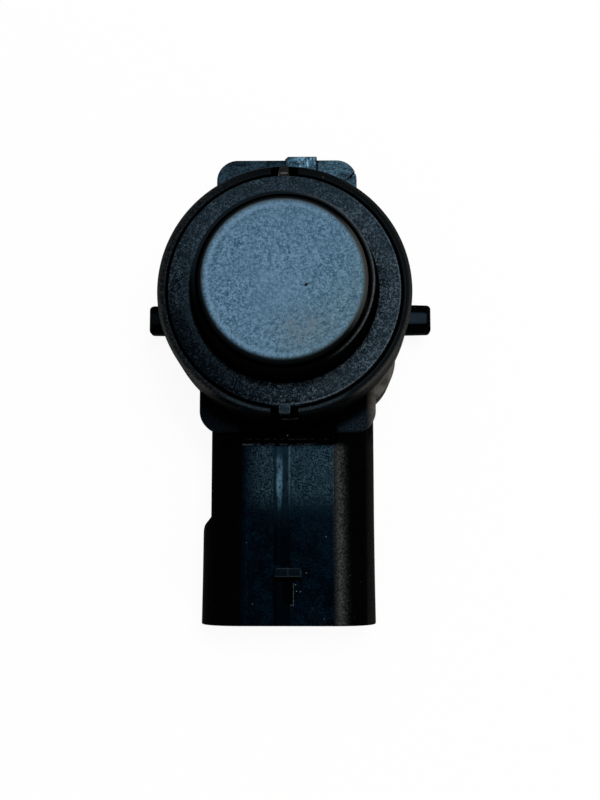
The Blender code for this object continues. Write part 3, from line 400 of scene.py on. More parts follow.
class Coat:
    """A procedural material whose patterns lie in the object's own millimetres."""

    def __init__(self, name, roughness, metallic, specular, tint=WHITE):
        self.material = bpy.data.materials.new(name)
        self.material.use_nodes = True
        self.nodes = self.material.node_tree.nodes
        self.links = self.material.node_tree.links
        self.shader = self.nodes["Principled BSDF"]
        set_inputs(self.shader, Roughness=roughness, Metallic=metallic)
        set_inputs(self.shader, Specular_IOR_Level=specular, Specular_Tint=(*tint, 1.0))
        scale = self.nodes.new('ShaderNodeVectorMath')
        scale.operation = 'SCALE'
        set_inputs(scale, Scale=1 / MM)
        self.links.new(self.nodes.new('ShaderNodeTexCoord').outputs["Object"], scale.inputs[0])
        self.place = scale.outputs[0]
        split = self.nodes.new('ShaderNodeSeparateXYZ')
        self.links.new(self.place, split.inputs[0])
        self.axes = [Field(self, output) for output in split.outputs]
        self.colour = None

    def put(self, value, socket):
        """Link a field or a node's output to a socket, or set the socket's own value."""
        if isinstance(value, Field):
            self.links.new(value.socket, socket)
        elif isinstance(value, bpy.types.NodeSocket):
            self.links.new(value, socket)
        elif isinstance(value, tuple):
            socket.default_value = (*value, 1.0)
        else:
            socket.default_value = value

    def math(self, operation, first, second=0.0):
        node = self.nodes.new('ShaderNodeMath')
        node.operation = operation
        self.put(first, node.inputs[0])
        self.put(second, node.inputs[1])
        return Field(self, node.outputs[0])

    def noise(self, scale, detail=2.0, roughness=0.5, distortion=0.0, stretch=None, shift=(0.0, 0.0, 0.0)):
        """Noise with its scale in waves per millimetre."""
        node = self.nodes.new('ShaderNodeTexNoise')
        set_inputs(node, Scale=scale, Detail=detail, Roughness=roughness, Distortion=distortion)
        place = self.place
        if stretch:
            mapping = self.nodes.new('ShaderNodeMapping')
            set_inputs(mapping, Scale=stretch, Location=shift)
            self.links.new(place, mapping.inputs["Vector"])
            place = mapping.outputs[0]
        self.links.new(place, node.inputs["Vector"])
        return Field(self, node.outputs[0])

    def mix(self, share, first, second, blend='MIX'):
        node = self.nodes.new('ShaderNodeMix')
        node.data_type = 'RGBA'
        node.blend_type = blend
        self.put(share, node.inputs[0])
        self.put(first, node.inputs[6])
        self.put(second, node.inputs[7])
        return node.outputs[2]

    def start(self, share, first, second):
        """Mix the ground colour, on which the others are laid."""
        self.colour = self.mix(share, first, second)

    def lay(self, colour, share, blend='MIX'):
        """Lay a colour over what is there, as far as the share says."""
        self.colour = self.mix(share, self.colour, colour, blend)

    def radius(self):
        """Distance from the sensor's axis."""
        x, y, _ = self.axes
        return (x * x + y * y).root()

    def spot(self, centre, size, softness=0.3, wobble=0.5, turn=0.0, slim=1.0):
        """A small irregular spot round a place on the face, as a share from 0 to 1."""
        across = self.axes[0] - centre[0]
        along = self.axes[1] - centre[1]
        cosine = math.cos(math.radians(turn))
        sine = math.sin(math.radians(turn))
        first = across * cosine + along * sine
        second = (along * cosine - across * sine) / slim
        distance = (first * first + second * second).root() / size
        ragged = (self.noise(3.5 / size, 2.0) - 0.5) * (wobble * 2)
        return (distance + ragged).ease(1.0 + softness, 1.0 - softness)

    def flecks(self, places, size=0.055, colour=(0.15, 0.155, 0.15)):
        """Single pale flecks at places on the face."""
        for place in places:
            self.lay(colour, self.spot(place, size, 0.4, 0.5, 20.0, 0.7) * 0.8)

    def dust(self, rarity=0.8):
        """Sparse pale specks."""
        self.lay((0.16, 0.155, 0.14), self.noise(4.5, 1.0, 0.4).ease(rarity, rarity + 0.05) * 0.6)

    def done(self, height, depth, roughness=None):
        """The material with its colour, a relief as deep as given in millimetres, and its roughness."""
        relief = self.nodes.new('ShaderNodeBump')
        set_inputs(relief, Distance=depth * MM, Strength=1.0)
        self.put(height, relief.inputs["Height"])
        self.put(relief.outputs[0], self.shader.inputs["Normal"])
        self.put(self.colour, self.shader.inputs["Base Color"])
        if roughness is not None:
            self.put(roughness, self.shader.inputs["Roughness"])
        return self.material


def camera():
    side = math.sin(math.radians(CAMERA_SIDE))
    lean = -math.sin(math.radians(CAMERA_LEAN))
    back = Vector((side, lean, math.sqrt(1 - side * side - lean * lean)))
    right = Vector((0.0, 1.0, 0.0)).cross(back).normalized()
    up = back.cross(right)
    data = bpy.data.cameras.new("camera")
    data.lens = FOCAL_LENGTH
    data.sensor_width = 36.0
    data.clip_start = 0.01
    data.clip_end = 10.0
    item = add_object("camera", data)
    turn = Matrix((right, up, back)).transposed().to_4x4()
    item.matrix_world = Matrix.Translation(Vector(CAMERA_PLACE) * MM) @ turn
    bpy.context.scene.camera = item


def lamp(name, place, target, size, power, colour):
    data = bpy.data.lights.new(name, 'AREA')
    data.shape = 'RECTANGLE'
    data.size = size[0]
    data.size_y = size[1]
    data.energy = power
    data.color = colour
    item = add_object(name, data)
    direction = Vector(target) - Vector(place)
    item.location = place
    item.rotation_euler = direction.to_track_quat('-Z', 'Y').to_euler()


def seen_or_reflected(tree):
    """1 for rays from the camera, a gloss or a glass, and 0 for the others."""
    path = tree.nodes.new('ShaderNodeLightPath')
    total = path.outputs["Is Camera Ray"]
    for name in ("Is Glossy Ray", "Is Transmission Ray"):
        node = tree.nodes.new('ShaderNodeMath')
        node.operation = 'MAXIMUM'
        tree.links.new(total, node.inputs[0])
        tree.links.new(path.outputs[name], node.inputs[1])
        total = node.outputs[0]
    return total


def mixed_shader(tree, share, first, second, output):
    """Mix two shaders and link the result to an output."""
    mix = tree.nodes.new('ShaderNodeMixShader')
    for source, socket in zip((share, first, second), mix.inputs):
        tree.links.new(source, socket)
    tree.links.new(mix.outputs[0], output)


def background(tree, strength):
    node = tree.nodes.new('ShaderNodeBackground')
    set_inputs(node, Color=(*WHITE, 1.0), Strength=strength)
    return node.outputs[0]


def surroundings():
    """A white studio that lights the object softly but is seen and reflected as full white, and its lamps."""
    world = bpy.data.worlds.new("studio")
    world.use_nodes = True
    tree = world.node_tree
    tree.nodes.clear()
    output = tree.nodes.new('ShaderNodeOutputWorld').inputs[0]
    mixed_shader(tree, seen_or_reflected(tree), background(tree, SKY_LIGHT), background(tree, 1.0), output)
    bpy.context.scene.world = world
    for name, values in LAMPS.items():
        lamp(name, *values)


def floor():
    """A pale floor that takes the object's shadow."""
    half = FLOOR_HALF
    points = [(-half, -half, 0.0), (half, -half, 0.0), (half, half, 0.0), (-half, half, 0.0)]
    mesh = bpy.data.meshes.new("floor")
    mesh.from_pydata(points, [], [[0, 1, 2, 3]])
    item = add_object("floor", mesh)
    item.location.z = -FLOOR_DROP
    material = bpy.data.materials.new("white_floor")
    material.use_nodes = True
    tree = material.node_tree
    shader = tree.nodes["Principled BSDF"]
    tone = (FLOOR_TONE, FLOOR_TONE, FLOOR_TONE, 1.0)
    set_inputs(shader, Base_Color=tone, Roughness=0.9, Specular_IOR_Level=0.0)
    white = tree.nodes.new('ShaderNodeEmission')
    set_inputs(white, Strength=1.0)
    share = tree.nodes.new('ShaderNodeMath')
    share.operation = 'MULTIPLY'
    share.inputs[1].default_value = FLOOR_WHITENESS
    tree.links.new(seen_or_reflected(tree), share.inputs[0])
    output = tree.nodes["Material Output"].inputs["Surface"]
    mixed_shader(tree, share.outputs[0], shader.outputs[0], white.outputs[0], output)
    mesh.materials.append(material)


def shoulder_reflection(coat):
    """Share of the painted reflection stripe along the shroud's right shoulder, ragged on its outer side."""
    x, y, z = coat.axes
    grain = coat.noise(5.2, 2.0, 0.9)
    across = x + (y + 24.0) * 0.012
    fading = (across - (grain - 0.5) * 1.15).ease(7.3, 5.3) ** 3.4
    share = across.ease(4.65, 5.65) * fading * grain.ease(0.36, 0.64, 0.22)
    return share * y.ease(-14.4, -15.2) * z.ease(8.4, 9.0)


def plate_sheen_and_shadow(coat, grain):
    """The bluish painted sheen on the far plate, mottled, with painted highlight streaks on the tab, painted
    shade along the tab's right and far edges, and a painted shadow in the gap beside the tab.
    """
    x, y, z = coat.axes
    patches = coat.noise(0.85, 4.0, 0.7, 0.4, (1.0, 1.5, 1.0), (3.0, 0.5, 0.0))
    streaks = coat.noise(1.6, 3.0, 0.75, 0.0, (2.2, 0.5, 1.0), (0.4, 0.0, 0.0))
    raised = z.ease(10.15, 10.4)
    tab = x.band(-0.22, 3.2, 0.04) * raised
    mottle = patches.ease(0.34, 0.66, 0.25, 1.6) * grain.ease(0.36, 0.62, 0.3, 1.7)
    # Painted sheen of the far plate, brighter toward the right
    film_and_sheen = coat.mix(x.ease(2.6, 3.8), (0.022, 0.046, 0.066), (0.06, 0.125, 0.175))
    # Painted highlight streaks on the tab
    glint_streaks = streaks.ease(0.42, 0.66) * x.ease(0.6, 1.9)
    glint_colour = coat.mix(glint_streaks, (0.052, 0.114, 0.17), (0.38, 0.72, 0.98))
    plate = y.ease(8.5, 10.0) * z.ease(9.6, 9.9)
    coat.lay(coat.mix(tab, film_and_sheen, glint_colour), plate * mottle * tab.ease(0.0, 1.0, 0.5, 0.72))
    # Painted shade along the tab's right and far edges
    coat.lay((0.001, 0.0022, 0.003), (x.ease(3.05, 3.12) | y.ease(15.7, 15.76)) * raised)
    # Painted shadow in the gap beside the tab
    gap = x.band(3.22, 3.34, 0.03) * y.ease(12.5, 12.6) * z.ease(10.4, 10.1)
    coat.lay((0.0002, 0.0003, 0.0005), gap)


def slot_edge(coat, specks):
    """Highlights painted pale along the edges of the slot in front of the latch bar."""
    x, y, _ = coat.axes
    edge = (x.band(0.69, 0.77, 0.03) | y.ease(-31.1, -31.14)) * y.band(-31.24, -28.95, 0.03)
    edge = edge * x.band(0.3, 0.77, 0.03)
    coat.lay((0.04, 0.064, 0.07), edge * specks.ease(0.4, 0.56, 0.1, 0.9))


def grained_plastic():
    """Finely spark-eroded faces of the moulding, glossy in the grain and duller in its pits."""
    coat = Coat("grained_black_plastic", 0.18, 0.0, 0.0095, (0.16, 0.52, 0.96))
    x, y, _ = coat.axes
    cloud = coat.noise(0.9, 3.0, 0.6)
    grain = coat.noise(4.6, 2.0, 0.85)
    specks = coat.noise(5.6, 2.0, 0.9)
    coat.start(cloud.ease(0.38, 0.62), (0.0001, 0.0003, 0.0011), (0.0002, 0.0009, 0.0024))
    coat.lay((0.0016, 0.004, 0.006), grain.ease(0.5, 0.62, 0.0, 0.35))
    panel = y.ease(-14.4, -15.4)
    # Painted sheen on the upper part of the panel, fading downward and toward the left
    panel_sheen = panel * y.ease(-22.2, -18.6) * x.ease(-4.75, -2.0) * specks.ease(0.43, 0.64)
    coat.lay((0.044, 0.089, 0.114), panel_sheen * cloud.ease(0.35, 0.6, 0.5))
    blotches = panel * x.ease(-4.7, -3.7) * specks.ease(0.5, 0.62)
    coat.lay((0.0012, 0.0062, 0.012), blotches * cloud.ease(0.42, 0.6, 0.1))
    # Painted reflection stripe along the right shoulder
    coat.lay(SHOULDER_REFLECTION, shoulder_reflection(coat))
    # Painted sheen, highlights and shadows on the far plate and its tab
    plate_sheen_and_shadow(coat, grain)
    # Painted highlights on the latch slot's edges
    slot_edge(coat, specks)
    coat.dust()
    coat.flecks([(2.04, -27.89), (0.93, -29.1), (1.05, -29.75), (1.45, -29.8), (4.1, -24.2)])
    pits = (grain + cloud * 0.25).ease(0.6, 0.66, 0.08, 0.34)
    worn = x.ease(-3.8, -4.55, 0.0, 0.8) * y.ease(-14.0, -14.5)
    return coat.done(coat.noise(2.5, 1.0), 0.004, pits | worn)


def paler_sides(coat, grain):
    """One even, paler tone for the north side, the rear and the body's walls."""
    x, y, z = coat.axes
    tone = coat.mix(grain, (0.0105, 0.011, 0.0115), (0.02, 0.0206, 0.0212))
    outside = coat.radius().ease(12.2, 12.5) | z.ease(9.6, 9.2)
    lug = abs(x).ease(11.5, 11.7) * z.ease(5.4, 5.2)
    coat.lay(tone, (y.ease(-6.0, 2.0) * outside | z.ease(5.2, 3.4)) * lug.ease(1.0, 0.0))


def right_side_painted_light(coat, cloud, grain):
    """Painted light on the shroud's flank, the barrel's wall, the ear and the body's corner, all on the
    right, where light falls from the right.
    """
    x, y, z = coat.axes
    radius = coat.radius()
    # Painted light on the shroud's right flank
    flank = x.ease(8.2, 9.0) * y.ease(-13.0, -15.0)
    coat.lay((0.008, 0.008, 0.007), flank * grain.ease(0.3, 0.65, 0.3))
    # Painted warm light on the barrel's right wall
    wall = radius.ease(13.0, 12.9) * z.ease(11.5, 17.0) * x.ease(7.0, 9.5) * cloud.ease(0.3, 0.65, 0.5)
    coat.lay((0.0075, 0.008, 0.0075), wall * grain.ease(0.42, 0.6, 0.3))
    # Painted bluish light on the outer part of the right ear
    ear = radius.ease(13.5, 14.4) * x.ease(4.4, 6.4, 0.3) * y.band(-13.4, -8.0, 0.2) * z.ease(9.8, 9.95)
    coat.lay((0.008, 0.015, 0.022), ear * grain.ease(0.4, 0.62, 0.2))
    # Painted warm light on the body's lower right corner
    drift = (coat.noise(0.5, 3.0, 0.6) - 0.5) * 5.0
    corner = x.ease(8.2, 9.4) * (y + drift).ease(-4.0, -6.4) * (z + drift).ease(12.6, 10.8) * z.ease(7.4, 8.8)
    coat.lay((0.092, 0.088, 0.077), corner * cloud.ease(0.3, 0.6, 0.4))


def pocket_highlights(coat):
    """Broken highlight lines painted along the panel's lip, across the pocket's floor and under the lower key
    slot.
    """
    x, y, z = coat.axes
    lip = y.band(-14.74, -14.5, 0.04) * x.band(-4.6, 4.9, 0.1) * z.ease(9.2, 9.4)
    coat.lay((0.022, 0.034, 0.044), lip * coat.noise(1.3, 3.0, 0.8).ease(0.48, 0.6))
    line = y.band(-13.88, -13.8, 0.03) * x.band(-4.4, 4.4, 0.2) * z.ease(6.7, 6.6)
    coat.lay((0.03, 0.032, 0.034), line * coat.noise(1.5, 3.0, 0.8).ease(0.48, 0.58, 0.0, 0.8))
    dashes = x.band(-0.3, 1.32, 0.04) * z.band(15.75, 16.05, 0.06) * y.ease(-12.5, -12.6)
    coat.lay((0.06, 0.062, 0.06), dashes * coat.noise(1.7, 2.0, 0.7).ease(0.44, 0.54))


def side_plastic():
    """Plain sides of the moulding: dull black, with painted light on the right and painted highlight lines in
    the pocket.
    """
    coat = Coat("plain_black_plastic", 0.6, 0.0, 0.003, (0.85, 0.93, 1.0))
    cloud = coat.noise(0.8, 4.0, 0.65)
    grain = coat.noise(5.0, 3.0, 0.7)
    coat.start(cloud, (0.0001, 0.0001, 0.0002), (0.0005, 0.0006, 0.0008))
    paler_sides(coat, grain)
    # Painted reflection stripe along the right shoulder
    coat.lay(SHOULDER_REFLECTION, shoulder_reflection(coat))
    # Painted light on the right side
    right_side_painted_light(coat, cloud, grain)
    # Painted highlight lines in the pocket and under the lower key slot
    pocket_highlights(coat)
    coat.flecks([(0.02, -13.45)], 0.07, (0.24, 0.25, 0.26))
    coat.dust()
    return coat.done(grain + coat.noise(2.0, 3.0), 0.008)


def rim_plastic():
    """Rounded rim and lug tops, scuffed to a soft gloss, with a painted highlight along the outer edge low on
    both sides, a painted highlight and a painted dark line of shade on the lower inner edge, the right lug's
    top painted lighter than the left's, and dust on the left.
    """
    coat = Coat("worn_black_plastic", 0.3, 0.0, 0.01, (0.56, 0.8, 1.0))
    x, y, z = coat.axes
    radius = coat.radius()
    cloud = coat.noise(0.7, 4.0, 0.65)
    grain = coat.noise(6.0, 3.0, 0.7)
    coat.start(cloud, (0.0012, 0.0015, 0.0018), (0.0034, 0.0042, 0.0048))
    # Painted highlight along the rim's outer edge, low on both sides
    edge = radius.ease(12.25, 12.48) * radius.ease(12.9, 12.75) * y.ease(4.0, -8.0, 0.3)
    edge = edge * abs(x).ease(5.0, 8.2, 0.04)
    coat.lay((0.036, 0.036, 0.032), edge * grain.ease(0.3, 0.62, 0.3))
    coat.lay((0.014, 0.018, 0.021), x.ease(-3.0, -8.0) * coat.noise(4.8, 2.0, 0.9).ease(0.48, 0.6))
    # Painted highlight on the rim's lower inner edge
    bottom = radius.band(11.95, 12.2, 0.08) * y.ease(-10.0, -11.0)
    coat.lay((0.018, 0.031, 0.04), bottom * grain.ease(0.36, 0.62, 0.15, 0.9))
    # Painted dark line of shade beside it
    coat.lay((0.0003, 0.0003, 0.0003), radius.ease(12.2, 12.28) * y.ease(-9.5, -11.0))
    # Lug tops painted lighter on the right, as light
    tops = coat.mix(x.ease(-2.0, 2.0), (0.0001, 0.0004, 0.0009), (0.0085, 0.015, 0.022))
    coat.lay(tops, z.ease(8.0, 7.0) * grain.ease(0.3, 0.7, 0.5))
    coat.dust(0.782)
    scratches = coat.noise(2.0, 4.0, 0.7, 0.3, (0.35, 3.0, 3.0))
    return coat.done(scratches + grain, 0.006, (scratches + grain).ease(0.7, 1.3, 0.16, 0.4))


def latch_bar_tone_and_highlights(coat, cloud, grain):
    """Colour of the latch bar, with highlights painted along its rims and its middle."""
    x, y, _ = coat.axes
    worn = coat.mix(grain.ease(0.36, 0.62), (0.0007, 0.0018, 0.0026), (0.002, 0.0046, 0.006))
    rims = y.ease(-27.52, -27.46) | y.ease(-28.14, -28.22) | x.ease(1.38, 1.46)
    rims = rims | x.band(SEAM_X - 0.06, SEAM_X + 0.06, 0.02)
    return coat.mix(rims * cloud.ease(0.3, 0.6, 0.4, 0.9), worn, (0.013, 0.019, 0.0205))


def polished_plastic():
    """Polished rib and latch bar, with a painted sheen on the rib's upper part, a bright tapering gleam
    painted along the rib, and a highlight painted along the seam's bead.
    """
    coat = Coat("polished_black_plastic", 0.1, 0.0, 0.01, (0.2, 0.58, 1.0))
    x, y, z = coat.axes
    cloud = coat.noise(1.4, 4.0, 0.65)
    grain = coat.noise(5.0, 3.0, 0.7)
    coat.start(grain.ease(0.36, 0.64), (0.0001, 0.0001, 0.0003), (0.0001, 0.0005, 0.0012))
    # Painted sheen on the rib's upper part
    coat.lay((0.004, 0.012, 0.02), y.ease(-24.5, -18.0) * cloud.ease(0.3, 0.6, 0.4))
    # Painted gleam along the rib, tapering downward
    beside = abs(x + 0.73) - y.ease(-23.0, -18.5, 0.08, 0.33)
    dabs = coat.noise(2.6, 3.0, 0.85, 0.0, (1.0, 0.45, 1.0)).ease(0.36, 0.58, 0.25)
    gleam = beside.ease(0.08, -0.12) * dabs
    coat.lay((0.068, 0.142, 0.2), gleam * y.band(-20.3, -16.4, 1.5) * cloud.ease(0.3, 0.6, 0.35))
    # Painted highlight along the seam's bead
    bead = x.ease(0.16, 0.22) * y.ease(-22.0, -17.0) * grain.ease(0.36, 0.56, 0.3)
    coat.lay((0.034, 0.066, 0.092), bead)
    bar = z.ease(9.95, 10.1)
    # The latch bar's colour, with its painted highlights
    coat.lay(latch_bar_tone_and_highlights(coat, cloud, grain), bar)
    coat.dust()
    polish = (grain + cloud).ease(0.8, 1.3, 0.04, 0.14)
    dull = gleam.ease(1.0, 0.0, 0.0, 0.6) | bar * 0.6
    return coat.done(coat.noise(1.5, 1.0), 0.003, polish | dull)


def shadow_plastic():
    """Floors and walls of the slots and of the pocket behind the panel, painted black as shade."""
    coat = Coat("painted_shade_black_plastic", 0.85, 0.0, 0.0)
    coat.start(coat.noise(1.5, 4.0, 0.7), (0.0001, 0.0001, 0.0001), (0.0007, 0.0007, 0.0007))
    return coat.done(coat.noise(3.0, 3.0), 0.02)


def ring_keys(coat, fine):
    """Colours of the two keys: a highlight painted on the upper one's ledge, and highlights painted along the
    lower one's borders.
    """
    x, y, _ = coat.axes
    wedge = coat.mix(fine.ease(0.4, 0.6), (0.006, 0.0058, 0.0056), (0.016, 0.015, 0.014))
    # Painted highlight on the upper key's ledge
    ledge = y.band(11.8, 12.0, 0.04) * x.band(-0.4, 0.27, 0.03)
    ledge = ledge | x.band(-0.7, -0.56, 0.03) * y.band(11.5, 12.1, 0.1)
    wedge = coat.mix(ledge * fine.ease(0.3, 0.5, 0.5), wedge, (0.07, 0.072, 0.07))
    coat.lay(wedge, y.ease(11.46, 11.58))
    foot = coat.mix(fine.ease(0.42, 0.6), (0.004, 0.01, 0.013), (0.013, 0.024, 0.029))
    # Painted highlights along the lower key's borders
    border = abs(x - 0.03).ease(0.42, 0.47) | y.ease(-12.11, -12.17)
    foot = coat.mix(border * fine.ease(0.35, 0.55, 0.3), foot, (0.024, 0.035, 0.039))
    coat.lay(foot, y.ease(-11.5, -11.58))


def ring_plastic():
    """Coarse spark-eroded face of the cover ring, with a fibrous layer that carries painted highlights,
    brighter toward the right and thinning low on the left, the lower part painted darker as shade, the upper
    part painted lighter, and a highlight painted along the outer lip on the right.
    """
    coat = Coat("coarse_black_plastic", 0.25, 0.0, 0.014, (0.4, 0.74, 1.0))
    x, y, _ = coat.axes
    coarse = coat.noise(2.2, 2.0, 0.6, 0.7)
    fine = coat.noise(4.8, 2.0, 0.9)
    cloud = coat.noise(0.55, 3.0, 0.6)
    upward = x * 0.45 + y * 0.9
    rightward = x - y * 0.35
    coat.start(cloud, (0.0004, 0.0012, 0.0018), (0.0018, 0.0036, 0.0048))
    # Lower part painted darker as shade
    coat.lay((0.0003, 0.0008, 0.0013), upward.ease(-4.0, -8.0))
    # Upper part painted lighter, as light from above
    coat.lay((0.0055, 0.0105, 0.015), y.ease(1.0, 8.0))
    fibres = abs(coarse - 0.5).ease(0.022, 0.0)
    spread = (fibres * 0.45 + fine.ease(0.49, 0.6, -0.06, 0.72)) * cloud.ease(0.3, 0.65, 0.45, 0.95)
    # Fibrous layer, as painted highlights, thinning toward the bottom
    amount = upward.ease(-9.0, -3.0, 0.05, 1.06) * spread
    wiped = coat.noise(4.2, 2.0, 0.9).ease(0.53, 0.63, 0.0, 0.62)
    wiped = wiped * upward.ease(-4.0, -9.0) * rightward.ease(-4.5, 3.5, 0.3)
    # Painted highlight along the outer lip on the right
    lip = coat.radius().ease(11.3, 11.4) * rightward.ease(-1.0, 7.0) * fine.ease(0.42, 0.58, 0.2, 0.85)
    # Colour of the fibrous layer, a painted highlight brighter toward the right
    film_and_sheen = coat.mix(rightward.ease(-1.0, 8.0), (0.042, 0.067, 0.092), (0.078, 0.11, 0.142))
    coat.lay(film_and_sheen, amount | wiped | lip)
    coat.dust(0.788)
    ring_keys(coat, fine)
    gloss = spread.ease(0.1, 0.9, 0.2, 0.42) * upward.ease(-9.0, -4.0, 0.5)
    return coat.done(coarse * 1.4 + coat.noise(5.0, 1.0), 0.012, gloss)


def sleeve_rubber():
    """Black silicone, paler on its north side, with a painted sheen on its top toward the north and a
    highlight painted along its outer edge on the right.
    """
    coat = Coat("black_silicone_rubber", 0.65, 0.0, 0.004, (0.78, 0.9, 1.0))
    x, y, z = coat.axes
    radius = coat.radius()
    grain = coat.noise(6.0, 3.0, 0.7)
    coat.start(coat.noise(1.2, 3.0, 0.6), (0.0001, 0.0001, 0.0001), (0.0004, 0.0004, 0.0004))
    tone = coat.mix(grain, (0.008, 0.0082, 0.0085), (0.016, 0.0163, 0.0166))
    coat.lay(tone, y.ease(-1.0, 4.0) * z.ease(21.9, 21.6) * radius.ease(8.6, 8.7))
    # Painted sheen on the top toward the north
    coat.lay((0.0045, 0.0078, 0.0105), y.ease(-3.0, 4.0) * z.ease(22.0, 22.15))
    # Painted highlight along the outer edge on the right
    edge_highlight = (x * 0.9 + y * 0.25).ease(1.5, 7.0) * radius.ease(8.48, 8.72) * z.ease(21.8, 22.08)
    coat.lay((0.088, 0.098, 0.106), edge_highlight * grain.ease(0.35, 0.7, 0.3))
    return coat.done(grain, 0.008)


def cup_edge(coat, radius):
    """Zones toward the cup's edge: a dark halo, a pale crescent, the worn border painted darker toward the
    lower left as shade, and the edge itself painted dark as shade with a painted highlight toward the right.
    """
    x, y, _ = coat.axes
    coat.lay((0.045, 0.085, 0.125), radius.band(6.72, 6.98, 0.12) * 0.3)
    coat.lay((0.125, 0.222, 0.325), radius.band(7.16, 7.46, 0.1) * x.ease(5.0, -3.0, 0.15, 0.5))
    # Worn border, painted darker toward the lower left as shade
    worn = coat.mix((x * -0.5 - y).ease(1.0, 7.0), (0.052, 0.072, 0.084), (0.01, 0.017, 0.02))
    coat.lay(worn, radius.ease(7.48, 7.8) * 0.9)
    # The rounded edge painted dark as shade, with a painted highlight toward the right
    edge = coat.mix((x + y * 0.1).ease(5.4, 7.6), (0.0015, 0.002, 0.0022), (0.032, 0.034, 0.033))
    coat.lay(edge, radius.ease(7.66, 7.96))


def cup_paint():
    """Blue-grey metallic paint with its fine mottle, a worn edge painted dark as shade with a painted
    highlight toward the right, a smudge and chips.
    """
    coat = Coat("blue_grey_metallic_paint", 0.45, 0.0, 0.012, (0.8, 0.93, 1.0))
    x, y, _ = coat.axes
    mottle = coat.noise(2.0, 3.0, 0.8)
    flakes = coat.noise(4.8, 2.0, 0.9)
    radius = coat.radius()
    ragged_radius = radius + mottle * 0.1
    coat.start(mottle.ease(0.34, 0.66), (0.026, 0.07, 0.118), (0.084, 0.166, 0.252))
    coat.lay((0.156, 0.27, 0.38), flakes.ease(0.46, 0.62, 0.0, 0.7))
    coat.lay((0.018, 0.05, 0.088), flakes.ease(0.5, 0.36, 0.0, 0.68))
    coat.lay((0.074, 0.142, 0.212), coat.noise(0.22, 2.0, 0.5).ease(0.4, 0.65, 0.0, 0.3))
    coat.lay((0.97, 0.96, 0.87), (x * 0.8 - y * 0.6).ease(1.0, 7.0), 'MULTIPLY')
    coat.lay((0.15, 0.262, 0.372), radius.ease(5.0, 1.0, 0.0, 0.13))
    smudge = coat.spot((1.6, -4.9), 2.5, 0.9, 0.5, 0.0, 0.6)
    coat.lay((0.108, 0.124, 0.13), smudge * mottle.ease(0.4, 0.6) * 0.5)
    cup_edge(coat, ragged_radius)
    chips = coat.spot((2.2, -0.59), 0.21, 0.2, 0.3, 40.0, 0.62)
    for place, size in (((0.6, 2.54), 0.09), ((0.44, 1.82), 0.08), ((1.3, -3.1), 0.05)):
        chips = chips | coat.spot(place, size) * 0.7
    coat.lay((0.006, 0.008, 0.01), chips)
    gloss = mottle.ease(0.3, 0.7, 0.38, 0.52) | ragged_radius.ease(7.6, 7.9, 0.0, 0.75)
    return coat.done(coat.noise(3.0, 3.0, 0.6) * 0.25 - chips, 0.03, gloss)


def plain_coat(name, colour, other, roughness, metallic=0.0, scale=2.0, relief=0.01):
    """A material for the pieces inside, with a soft change of colour, gloss and relief."""
    coat = Coat(name, roughness, metallic, 0.4)
    cloud = coat.noise(scale, 4.0, 0.65)
    coat.start(cloud, colour, other)
    gloss = cloud.ease(0.3, 0.7, roughness * 0.8, min(1.0, roughness * 1.2))
    return coat.done(coat.noise(scale * 4, 3.0, 0.6), relief, gloss)


def shroud_outline(distance, half_width):
    """Section of the connector shroud as (x, z) points: wide front corners, tight rear corners."""
    reach = half_width - distance
    rear = SHROUD_REAR_CORNER - distance
    front = SHROUD_FRONT_CORNER - distance
    low = SHROUD_Z[0] + distance
    high = SHROUD_Z[1] - distance
    return box_outline(SHROUD_X - reach, SHROUD_X + reach, low, high, (rear, rear, front, front), 10)


def shroud_half_width(y):
    """The shroud widens toward the mouth, most of it on the last stretch."""
    share = min(max((y - SHROUD_ROOT_Y) / (MOUTH_Y - SHROUD_ROOT_Y), 0.0), 1.0)
    return SHROUD_HALF + SHROUD_FLARE * share ** 3


def shroud():
    """The hollow neck for the plug, relieved on its left side up to the socket's floor."""
    edge = 0.16
    reliefs = [(SHROUD_ROOT_Y, 1.0), (-22.1, 1.0), (-22.4, 0.72), (-22.7, 0.48)]
    reliefs += [(-23.0, 0.22), (-23.35, 0.08), (-23.7, 0.03)]
    stations = [(y, 0.0, relief) for y, relief in reliefs]
    stations += [(y, 0.0, 0.0) for y in (-24.2, -26.0, -28.0, -30.0, -31.5, -32.5)]
    for inward, along in arc((0.0, 0.0), edge, 0, 90, 4):
        stations.append((MOUTH_Y + edge - along, edge - inward, 0.0))
    rings = []
    for y, distance, relief in stations:
        half_width = shroud_half_width(y)
        limit = SHROUD_X - half_width + relief
        ring = []
        for x, z in shroud_outline(distance, half_width):
            ring.append((max(x, limit) if relief > 0.0 else x, y, z))
        rings.append(ring)
    return loft(rings)


def socket_cutter():
    """The socket's hollow, flared a little at the mouth to round its edge."""
    edge = 0.12
    stations = [(MOUTH_Y - 1.0, -edge)]
    for outward, along in arc((0.0, 0.0), edge, 90, 0, 4):
        stations.append((MOUTH_Y + edge - along, outward - edge))
    stations.append((SOCKET_FLOOR_Y, 0.0))
    rings = []
    for y, distance in stations:
        rings.append([(x, y, z) for x, z in shroud_outline(SOCKET_WALL + distance, SOCKET_HALF)])
    return loft(rings)


